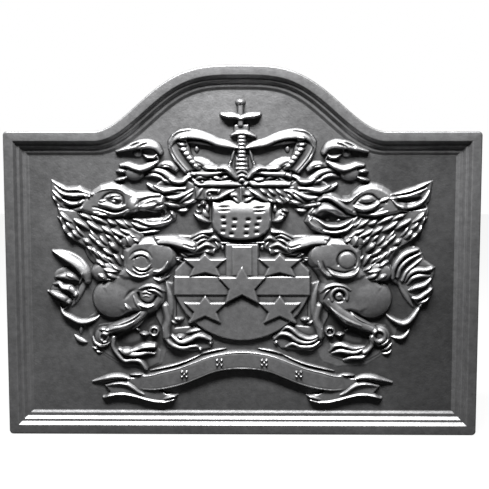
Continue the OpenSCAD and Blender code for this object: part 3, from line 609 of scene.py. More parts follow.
# A sheet of one piece's own, carved with its list
def carvePiece(node, work, side=1):
    pieces[node] = emptySheet()
    carve(pieces[node], work, side)


# The same work on the left and, turned over, on the right
def carvePair(name, work):
    for hand, side in (("left", 1), ("right", -1)):
        carvePiece(name + hand, work, side)


shield = {
    "half": 86, "top": 228, "cant": 16, "centreZ": 214, "radius": 92, "high": 5,
    "bandHalf": 85.8, "bandFoot": 181, "bandTop": 204.5, "bandHigh": 6.8,
    "pale": [(20, 204, 246), (12.5, 206, 243)],     # half width, foot and top of its two steps
    "paleRise": 1.2, "paleKnobs": [(-24.5, 242), (25.5, 242)],
    "centreStar": (0, 203.8, 30, 14, 21, 33, 22), "centreStarHigh": 9.6,     # as starPoints takes them
    "starXs": (-47, 48), "starHigh": 8,
    "starRows": [(227, 26.5, 6.5, 20, 22.5, 17), (171, 26.5, 9, 20, 26, 17)],
    "starCuts": [
        ("cut", [(-15, 172.5), (-8, 176.5), (0, 179), (8, 176.5), (15, 172.5)], 1.2, 1.3),
        ("cut", [(-28, 199.5), (-14, 187.5)], 1.1, 1.2), ("cut", [(28, 199.5), (14, 187.5)], 1.1, 1.2)],
}


# A squat five-pointed star that hangs from its level arms: five points on the right, turned over for the left
def starPoints(x, z, arm, peak, legX, drop, notch):
    right = [(0, peak), (arm * 0.26, 0), (arm, 0), (arm * 0.54, -drop * 0.46), (legX, -drop)]
    left = [(-a, b) for a, b in right[:0:-1]]
    return [(x + a, z + b) for a, b in right + [(0, -notch)] + left]


# Canted corners above, and below them the arc of a circle from side to side
def shieldOutline(s=shield):
    low = math.degrees(math.acos(s["half"] / s["radius"]))
    half, top, cant = s["half"], s["top"], s["cant"]
    corners = [(-half, top - cant), (-half + cant, top), (half - cant, top), (half, top - cant)]
    return corners + ringRow(0, s["centreZ"], s["radius"], -low, -180 + low, count=40)


# An upright rectangle about the middle
def block(half, foot, top):
    return [(-half, foot), (half, foot), (half, top), (-half, top)]


# The shield, its band, its pale in two steps, and five stars, each a slab on what carries it
def makeShield(s=shield):
    field, band = s["high"], s["bandHigh"]
    carvePiece("shield", [("slab", shieldOutline(), field, {"soft": 1.2})] + s["starCuts"])
    bandSlab = ("slab", block(s["bandHalf"], s["bandFoot"], s["bandTop"]), band,
                {"steep": 2.2, "soft": 0.5, "foot": field})
    carvePiece("shield_band", [bandSlab] + s["starCuts"])
    lower, upper = (block(*step) for step in s["pale"])
    carvePiece("shield_pale", [
        ("slab", lower, band, {"steep": 2.2, "soft": 0.6, "foot": field}),
        ("slab", upper, band + s["paleRise"], {"steep": 1.6, "soft": 0.6, "foot": band})]
        + [("mound", x, z, 3.5, 5, 6) for x, z in s["paleKnobs"]])
    carvePiece("centre_star", [("slab", starPoints(*s["centreStar"]), s["centreStarHigh"], {"foot": band})])
    carvePiece("outer_stars", [
        ("slab", starPoints(x, *star), s["starHigh"], {"steep": 2.2, "soft": 0.7, "foot": field})
        for x in s["starXs"] for star in s["starRows"]])


makeShield()
print("shield carved")

# A barred face with slots and rows of breath holes
helmet = {
    "outline": [(-36.5, 301), (-37, 272)] + ringRow(-0.5, 272, 36.5, 180, 360, 21 / 36.5, 17) + [(36, 301)],
    "high": 11,
    "bulge": (2.4, 36),                   # how far the face falls off, and at what x
    "brow": (285, 0.022), "chin": (262, 0.004),     # where it starts to fall off up and down, and how fast
    "slots": [(-22.5, 293.4), (-22.5, 288.8), (22, 292.3), (22, 287.6)],
    "slotHalf": 6.2, "slotCut": (1.25, 2.6),
    "breaths": [(-23.5, 279.9), (-22.5, 272), (-24, 262.8), (-9, 277.4), (-10, 268.2), (-13, 259.3),
                (8, 277.4), (6, 268.3), (5.5, 259.6), (21.5, 278.4), (19, 270.4), (18.5, 261.6)],
    "breathHalf": 0.9, "breathCut": (1.9, 3.0, "none"),
    "collar": [([(-26, 247.4), (0, 247.6), (28, 248)], 2.9, 9, "none", {"steep": 2.2})],
}


# The face is a barrel: its height falls off with the square of x, and again above the brow and below the chin
def makeHelmet(h=helmet):
    relief = emptySheet()
    slab(relief, h["outline"], h["high"], steep=2.2, soft=2.0)
    x, z = sheetX[None, :], sheetZ[:, None]
    (fall, wide), (browZ, brow), (chinZ, chin) = h["bulge"], h["brow"], h["chin"]
    barrel = h["high"] - fall * (x / wide) ** 2 - brow * np.maximum(z - browZ, 0) ** 2
    barrel = barrel - chin * np.maximum(chinZ - z, 0) ** 2
    relief[:] = np.minimum(relief, np.where(relief > sheet["nothing"], barrel, sheet["nothing"]))
    for x, z in h["slots"]:
        groove(relief, [(x - h["slotHalf"], z - 0.3), (x + h["slotHalf"], z + 0.3)], *h["slotCut"])
    for x, z in h["breaths"]:
        groove(relief, [(x - h["breathHalf"], z), (x + h["breathHalf"], z)], *h["breathCut"])
    pieces["helmet"] = relief
    carvePiece("helmet_collar", h["collar"])


makeHelmet()

# A leaf spray on either side of the helmet; both are drawn as if they stood on the left
leaves = {
    "left": [
        ("mound", -48.5, 298.4, 5.2, 4.2, 9), ("mound", -44, 291, 3.6, 7, 5),
        ([(-60, 284), (-51, 278.6), (-40, 273.4)], 5.2, 9, "lock"),
        ([(-59, 289), (-55, 287), (-51, 287)], 3, 7), ([(-57, 294), (-52, 296)], 2.2, 5.5),
        ([(-49, 290), (-46, 284), (-42, 280)], 4.4, 5)],
    "right": [
        ("mound", -49, 299.5, 3.4, 3.2, 7), ("mound", -41.5, 291, 3.4, 7, 5),
        ([(-59, 287), (-54, 289), (-49, 291)], 3, 8), ([(-56, 281), (-52, 284), (-48, 286)], 3.5, 8),
        ([(-53, 282), (-47, 278), (-38, 274.6)], 5.2, 9, "lock"),
        ([(-50, 290), (-46, 284), (-42, 280)], 4.4, 5)],
}
carvePiece("helmet_leaves", leaves["left"])
carve(pieces["helmet_leaves"], leaves["right"], -1)

# The cloth between crown and helmet
drapery = [
    ("slab", [(-60, 319), (-58, 303), (-49, 302), (-37, 301), (-25, 304), (-18, 309), (-12, 304.6),
      (-6, 297.4), (0, 295), (8, 299), (15, 305), (30, 299.6), (54, 297.5), (64, 303), (66, 319)],
      4.6, {"steep": 2.6}), ("over",),
    ([(-38, 303.4), (-30, 304.6), (-24, 308), (-17, 312), (-10, 314.6)], 3.5, 5.2),
    ([(-46, 305.6), (-45, 311.6), (-39.6, 314.4), (-32, 314)], 2.2, 3.4, "none"),
    ("mound", -40.6, 304.4, 3.8, 2.5, 4.2), ("mound", -41, 309.4, 2.6, 1.8, 2.6),
    ([(-31, 310), (-27.6, 315.8)], 2.1, 3.2), ([(-58, 304.6), (-53.6, 311.6), (-50, 316.4)], 2.4, 2.2),
    ([(-16.6, 304), (-12, 308.8), (-7.4, 308.4), (-4.6, 303), (-3, 297.6)], 3.3, 5, [0.5, 1, 1, 0.8, 0.5]),
    ([(-1.6, 317), (-1.4, 308), (-0.6, 299)], 1.5, 2.2, "none"),
    ([(2, 308.6), (7, 310), (12.6, 307.4)], 3.7, 5.2), ([(-15, 306), (-8, 302.4), (-1.6, 297.4)], 3.4, 4.8),
    ([(1.4, 298.4), (7, 302.4), (14, 305.6)], 3.4, 4.8),
    ([(10, 314.6), (17, 310.8), (24, 306), (32, 300.4)], 3.3, 5), ([(23, 315.4), (32, 309.6)], 2.4, 4),
    ([(33.6, 315.4), (43, 308.6)], 2.4, 4), ([(43, 315.2), (53, 307.4)], 2.6, 4.2),
    ([(33, 303), (42, 298.4)], 2.5, 4), ([(43.4, 302), (53, 296)], 2.5, 4),
    ([(30.6, 311), (39.4, 302.6)], 1.7, 2.6), ([(46.6, 308), (55.4, 299.6)], 1.7, 2.6),
    ([(57.6, 309), (64.4, 303)], 1.7, 2.8), ([(53, 314), (60, 312.8), (66, 307.8), (73, 300)], 2.6, 4.2),
    ([(55.6, 303.8), (62, 298.8), (70, 298.6)], 2.5, 4)]
carvePiece("drapery", drapery)
print("helmet, leaves and drapery carved")

# A circlet with gems, two side arches with beads, a ribbed middle arch and a cross
crown = {
    "back": [
        ("slab", [(-62, 320), (-64, 337.6), (63, 337.6), (61, 320)], 3, {"steep": 2.2})],
    "lining": [     # what shows above the circlet, on its left side
        ([(-63, 353.4), (-53, 350.6), (-43, 346.4), (-33, 343)],
          7.6, 7.6, [0.55, 0.95, 1, 0.6], {"lean": 0.7}),
        ([(-29, 342.4), (-21.6, 343.6), (-15, 339.4), (-8, 331.4)],
          4.8, 7.4, [0.6, 1, 1, 0.8], {"steep": 2.8}), ([(-13.4, 353), (-15.6, 346), (-12, 341)], 2.3, 6.8),
        ("cut", [(-59, 350), (-52, 346.4), (-45, 341.4)], 0.9, 1.6)],
    "circlet": [
        ("slab", [(-62, 320), (-64, 337), (63, 337), (61, 320)], 3.2, {"steep": 2.2}), ("over",),
        ([(-58, 323.6), (-50, 321), (-42, 322.2), (-34, 322.4), (-26, 321.8), (-18, 322.6), (-10, 322),
          (-2.6, 319.6)], 5, 5, [0.6, 0.8, 1, 1, 0.95, 1, 1, 0.7]), ("mound", -14, 326, 4.4, 2.2, 4.6),
        ("mound", -38, 325.4, 5, 1.8, 4.6), ([(-67, 331), (-60, 326.4), (-54, 322), (-48, 319.4)], 2.1, 5.4),
        ([(0.6, 320.4), (4, 322), (8, 325)], 3.2, 5),
        ([(9, 325), (15, 322.6), (22, 320.6), (32, 322), (44, 322), (54, 322), (60, 321)],
          5, 5, [0.6, 0.95, 0.85, 1, 1, 1, 0.7]), ([(56, 319.4), (62, 324), (67, 327)], 2.1, 5.4),
        ([(-55, 337), (-44, 337.6), (-36, 338.8), (-28, 340.4), (-20, 341.2), (-13, 337), (-7, 330.4)],
          7.2, 6, [0.7, 1, 1, 1, 0.9, 0.8, 0.6]),
        ([(8, 331.6), (14, 335.6), (21, 339.4), (30, 338.8), (40, 338.2), (51, 336.6)],
          7.2, 6, [0.6, 0.8, 0.9, 1, 1, 0.8]), ([(-68, 334.6), (-62, 335.2), (-55, 334.4)], 3.2, 5.4, "none"),
        ([(50, 333.4), (56, 334.2), (62, 332)], 3.2, 5.4, "none"),
        ([(41, 334.6), (47, 330), (53, 325.6), (59, 323.4)], 2.4, 5.8),
        ([(-60, 327), (-52, 331.4), (-43, 328.6)], 3, 5), ("mound", -50, 325.6, 3.4, 1.8, 4.4),
        ("cut", [(-54, 323.4), (-48, 323.4)], 1, 3), ([(-38.6, 332.8), (-32, 330), (-25, 327.4)], 3.4, 5.4),
        ([(-26, 328), (-20.6, 331.4), (-15, 331.6)], 3, 4.8), ([(-43, 330), (-36, 326.8)], 2.2, 4.4),
        ("cut", [(-28, 334), (-23, 334.6), (-18, 334.4)], 1.6, 3.4),
        ("cut", [(13, 332.8), (20, 333.6), (27, 332.4)], 2, 4.4),
        ([(12, 329.6), (20, 327.8), (29, 329.8)], 3.4, 5.2),
        ([(29, 327.4), (35, 330.4), (42, 330.6)], 2.6, 4.8), ("mound", 44, 327.2, 3.8, 2.2, 5)],
    "arch": [
        ([(-5, 368), (-17, 371.8), (-30, 374.8), (-40, 379), (-50, 382.4), (-60, 384.2), (-70, 384.8),
          (-79, 383), (-86, 378), (-90, 368)],
          7.8, 9, [0.42, 0.7, 0.8, 0.84, 0.88, 0.95, 1, 0.95, 0.7, 0.3], {"steep": 3, "full": 0.65, "lean": 0.75}),
        ([(-76, 374), (-64, 375.4), (-48, 373.2), (-38, 370)], 3.6, 4.2, {"steep": 2.2, "lean": 0}),
        ("slab", [(-93, 376), (-88, 384), (-72, 386), (-68, 376), (-64, 360), (-52, 342), (-72, 336),
          (-86, 352), (-92, 366)], 4.6, {"steep": 1.8, "soft": 1.5}), ("over",),
        ([(-92.6, 370), (-90.4, 362), (-85.4, 353.6), (-77.8, 344), (-70, 336)], 2, 2.4, "root"),
        ([(-89, 372), (-86.6, 364), (-82, 355.6), (-75, 346.4), (-67.6, 338)], 1.7, 2, "root"),
        ([(-70, 374.6), (-60, 375.4), (-47, 373.4), (-40, 371)], 1.6, 1.2),
        ("mound", -57, 366, 3.6, 5, 2.6, {"steep": 1.4}),
        ("cut", [(-60, 388.2), (-70, 388.2), (-80, 386), (-87, 380.4), (-90.6, 371)], 1, 3.2)],
    "beads": [     # x, z and two half widths
        (-74, 379.2, 4.6, 3), (-75.2, 372.4, 4.4, 2.6), (-73, 366, 4.4, 2.7), (-69.2, 361, 4, 3.2),
        (-65.4, 355.8, 4.2, 3.2), (-61.8, 350.8, 4.2, 3), (-57.4, 346, 4.2, 2.8), (-53, 341.6, 3.8, 2.6)],
    "bead": {"out": 1.25, "rise": 0.4, "fall": 1.2, "wide": 1.3, "high": 5.0},
    "centre": [
        ("slab", [(-5.4, 338), (-5.4, 384), (5, 384), (5, 338)], 5, {"soft": 1}),
        ("slab", [(-10, 324), (-8, 356), (7, 356), (9, 324)], 4.6, {"steep": 2, "soft": 1}),
        ([(-8, 369), (-12, 357), (-14.6, 345)], 2.4, 4.6), ([(8, 369), (12, 357), (14.6, 345)], 2.4, 4.6),
        ("over",)],
    "ribs": [     # z and half width
        (381.6, 6.4), (377.2, 6.4), (372.6, 6.6), (368, 7), (363, 7), (358.2, 7.2), (353.2, 8), (347.8, 9),
        (342.6, 10)],
    "chevrons": [(339.6, 9.5), (334.2, 9), (328.6, 5)],
    "cross": [
        ([(-13, 383.4), (-6, 386), (1, 386.6), (8, 385.4), (16.6, 382)], 4.2, 7.2, [0.6, 1, 1, 1, 0.6]),
        ("slab", [(-10, 386), (-10, 397), (8.5, 397), (8.5, 386)], 3.6, {"steep": 1.6, "soft": 1.2}),
        ([(-8, 397), (-8, 389)], 1.8, 5.6), ([(6, 397), (6, 389)], 1.8, 5.6),
        ("slab", [(-5.4, 394), (-5.4, 422), (1.8, 422), (1.8, 394)], 6.2, {"soft": 1.2}),
        ("mound", -2, 424.2, 6.8, 5, 8.4, {"steep": 3}),
        ([(-25, 409), (-18, 407.8), (-9, 407.4), (-2.4, 404.6)], 5.4, 9.4, [0.7, 1, 1, 0.8], {"lean": 0.75}),
        ([(21.6, 409), (14, 408), (6, 407.2), (-1, 404.6)], 5.4, 9.4, [0.7, 1, 1, 0.8], {"lean": 0.75}),
        ("cut", [(-17, 409), (-12, 409)], 1.6, 1.4)],
}


# A bead is a short ridge that falls outwards, a rib a ridge from side to side, and a chevron a bent one
def makeCrown(c=crown):
    carvePiece("crown_circlet", c["back"])
    for side in (1, -1):
        carve(pieces["crown_circlet"], c["lining"], side)
    carve(pieces["crown_circlet"], c["circlet"])
    b, keen = c["bead"], {"steep": 3, "blend": 0.3}
    carvePair("crown_arch_", c["arch"] + [
        ([(x - b["out"] * rx, z + b["rise"]), (x + b["out"] * rx, z - b["fall"])], b["wide"] * rz, b["high"],
         {"steep": 3.4, "blend": 0.3}) for x, z, rx, rz in c["beads"]])
    ribs = [([(-w, z - 1), (-0.3, z - 0.4), (w - 0.6, z - 1)], 2.5, 4.6, keen) for z, w in c["ribs"]]
    chevrons = [([(-w, z - 6), (0, z - 0.6), (w, z - 6)], 2.3, 4.8, keen) for z, w in c["chevrons"]]
    carvePiece("crown_arch_centre", c["centre"] + ribs + chevrons)
    carvePiece("crown_cross", c["cross"])


makeCrown()
print("crown carved")

# Leaves that curl out beside the crown and helmet
mantling = {
    "inner": [
        ("slab", [(-58, 320), (-58, 303), (-72, 293), (-92, 295), (-98, 300), (-100, 312), (-112, 320),
          (-100, 328), (-70, 328)], 3.4, {"steep": 1.6, "soft": 1.5}), ("over",),
        ([(-107, 344.6), (-98, 346.8), (-90, 346), (-83.4, 341)], 6, 8, [0.35, 0.9, 1, 0.7], {"lean": 0.7}),
        ([(-118, 338), (-108, 339.4), (-98, 336.6), (-90, 330.6), (-82, 326), (-75, 326.6), (-68, 331),
          (-58, 334)], 5.4, 8),
        ([(-124, 331), (-113, 333.6), (-104, 331.6), (-97, 327.6), (-90.6, 323)], 3.6, 7.2),
        ([(-119, 322), (-112, 318.2), (-103, 314.8), (-94, 314.6), (-84, 316.4), (-72, 317)],
          5, 7, [0.55, 1, 1, 0.85, 0.65, 0.5]),
        ([(-97, 310.2), (-90, 313.2), (-82, 311.8), (-71, 312.6)], 2, 6),
        ([(-99, 306.6), (-90, 305.2), (-82, 305.8), (-73, 309.4), (-62, 315)], 3.8, 6.6),
        ([(-79, 299.4), (-71, 305), (-62.4, 310.6)], 2.7, 6.6),
        ([(-74.6, 298), (-66, 299), (-56.6, 301)], 3.1, 6.6),
        ([(-99, 297.4), (-89, 295), (-78, 293)], 3.4, 6.6), ([(-94, 300.6), (-84, 299.8)], 1.8, 5),
        ([(-82, 288.6), (-75, 288.6), (-67, 290)], 3, 7),
        ("cut", [(-103, 344.6), (-95, 345.4), (-88, 342.6)], 0.8, 2)],
    "scroll": [
        ([(-158, 363), (-147, 366.4), (-137, 369.6), (-127, 371.8), (-117, 372.4), (-108, 369.2),
          (-102.6, 362)], 7.4, 9.6, [0.3, 0.5, 0.8, 1, 1, 0.85, 0.6], {"lean": 0.75}),
        ("cut", [(-141, 368.6), (-135.6, 371.6), (-129, 374)], 1, 3.4),
        ("cut", [(-131, 367.6), (-125.6, 371), (-119, 373.2)], 1, 3.4),
        ("mound", -131, 361, 7.4, 6, 3.6, {"steep": 1}),
        ([(-138.6, 364.6), (-132, 367.6), (-126, 369)], 2.2, 9),
        ([(-128.6, 361), (-126.6, 365.6), (-122, 369)], 2, 8),
        ([(-125, 359.6), (-118, 356), (-111, 356.2), (-106, 360.4)], 4, 9.2),
        ([(-110.6, 359.6), (-106.4, 355.6), (-104.6, 349.6)], 2.1, 7),
        ([(-153, 346), (-143.6, 346.4), (-135, 343.2), (-127, 341.8), (-118, 344.6), (-107, 350)],
          6.2, 9.6, [0.5, 0.9, 1, 1, 0.95, 0.5], {"lean": 0.7}),
        ("mound", -136, 336, 15.5, 11, 6.4, {"steep": 1.2}),
        ([(-159, 338), (-152, 339), (-145, 337.6)], 4, 8),
        ([(-161, 326.4), (-152, 328.6), (-144, 331)], 3.6, 8),
        ([(-126, 341), (-126, 333), (-131, 328.6)], 2.6, 6), ("cut", [(-153, 342.4), (-147, 341.8)], 1.4, 4),
        ("cut", [(-153, 333.6), (-147, 333.6)], 1.2, 3)],
}
for hand, side in (("left", 1), ("right", -1)):
    carvePiece("mantling_" + hand, mantling["inner"], side)
    carvePiece("mantling_scroll_" + hand, mantling["scroll"], side)

# A band with raised edges, folded tails, and a small rose in each place along it
ribbon = {
    "line": [(-131, 67), (-118, 66.8), (-102, 69.8), (-80, 75.2), (-60, 83), (-40, 91), (-20, 95.2),
             (0, 96.4), (20, 95.2), (40, 91), (60, 83), (80, 75.2), (102, 69.8), (118, 66.8), (131, 67)],
    "half": 13.6, "endHalf": 0.78, "endRun": 16,     # half width, its share at the ends, and the run of that
    "high": 7.4, "endHigh": 4.2, "highRun": 14, "swell": 0.7, "swells": 6, "wall": 2.4,
    "edge": (1.6, 1.8, 1.4), "inset": (0.35, 4.2, 1.0),     # bump and hollow: height, distance in and width
    "turns": [
        ([(-119, 82), (-100, 86.6), (-84, 90.8), (-68, 96.4), (-52, 103.4)], 2.4, 6.2),
        ([(-54, 103.4), (-38, 108.6), (-20, 111.2)], 2, 6.2),
        ([(54, 103.4), (38, 108.6), (20, 111.2)], 2, 6.2),
        ([(119, 82), (100, 86.6), (84, 90.8), (68, 96.4), (52, 103.4)], 2.4, 6.2),
        ([(-145, 76.6), (-134, 77.4), (-124, 77)], 2.8, 7.4),
        ([(145, 76.6), (134, 77.4), (124, 77)], 2.8, 7.4)],
    "tail": [
        ("slab", [(-177, 63), (-168, 66), (-158, 67.4), (-149, 67), (-145, 73), (-120, 74), (-108, 58),
          (-98, 52), (-92, 52), (-84, 50), (-88, 43), (-100, 39.8), (-112, 40.6), (-124, 43.2), (-136, 47),
          (-150, 50), (-162, 50), (-178, 46.4), (-170, 54)], 4, {"steep": 2, "soft": 1}), ("over",),
        ([(-173, 63), (-166, 65.2), (-157, 66.4), (-148, 64.6), (-140, 60), (-133, 54.6), (-126, 51)],
          2.8, 3.4, {"steep": 2}),
        ([(-179, 47), (-168, 49.6), (-154, 51), (-140, 48.6), (-126, 44.4), (-112, 41.4), (-98, 41),
          (-87, 44)], 2.2, 3, "none", {"steep": 2}),
        ([(-193, 67.4), (-180, 71), (-168, 74), (-156, 74.6), (-147, 72.4)],
          4.8, 7, [0.3, 0.6, 0.9, 1, 0.9, 0.7], {"steep": 1.8}),
        ([(-101, 45), (-92, 48.4), (-82, 51)], 2.4, 3.4)],
    "roses": [(-74, 78.6), (-29, 94), (28.4, 94), (72.6, 79)],
    "petal": (3.9, 4.1, 3.6, {"steep": 3.5, "blend": 0.25}),     # radius, distance out, height over the band
    "heart": (2.6, 4.6, {"steep": 5, "blend": 0.2}),             # radius, height over the band
}


# Height across the band: level, with a bump near either edge that fades as a bell curve, and a slow
# swell along it as a cosine
def makeRibbon(r=ribbon):
    relief = emptySheet()
    row = smoothRow(r["line"], 8)
    part, x, z = windowOver(row[:, 0], row[:, 1], r["half"] + 4)
    away, _, place = nearestOnRow(row, x, z)
    away, last = np.abs(away), len(row) - 1

    def towardsEnds(run, share):     # one along the middle, down to a share at either end
        return np.interp(place, [0, run, last - run, last], [share, 1, 1, share])

    w = r["half"] * towardsEnds(r["endRun"], r["endHalf"])
    swell = r["swell"] * np.cos(place / len(row) * r["swells"] * np.pi)
    fade = towardsEnds(r["highRun"], 0)
    bump, hollow = (high * np.exp(-((away - w + inset) / wide) ** 2)
                    for high, inset, wide in (r["edge"], r["inset"]))
    top = r["endHigh"] + (r["high"] - r["endHigh"] + swell) * fade + fade * (bump - hollow)
    relief[part] = np.minimum(top, r["wall"] * (w - away)).astype(np.float32)
    carve(relief, r["turns"])
    pieces["ribbon_centre"] = relief
    carvePair("ribbon_tail_", r["tail"])


# Four domes in a square with a fifth on their middle
def makeRoses(r=ribbon):
    pieces["ribbon_roses"] = roses = emptySheet()
    (size, out, high, petal), (heartSize, heartHigh, heart) = r["petal"], r["heart"]
    for x, z in r["roses"]:
        for a in (math.radians(90 * k + 45) for k in range(4)):
            centre = x + out * math.cos(a), z + out * math.sin(a)
            mound(roses, None, *centre, size, size, r["high"] + high, **petal)
        mound(roses, None, x, z, heartSize, heartSize, r["high"] + heartHigh, **heart)


makeRibbon()
makeRoses()
print("mantling and ribbon carved")

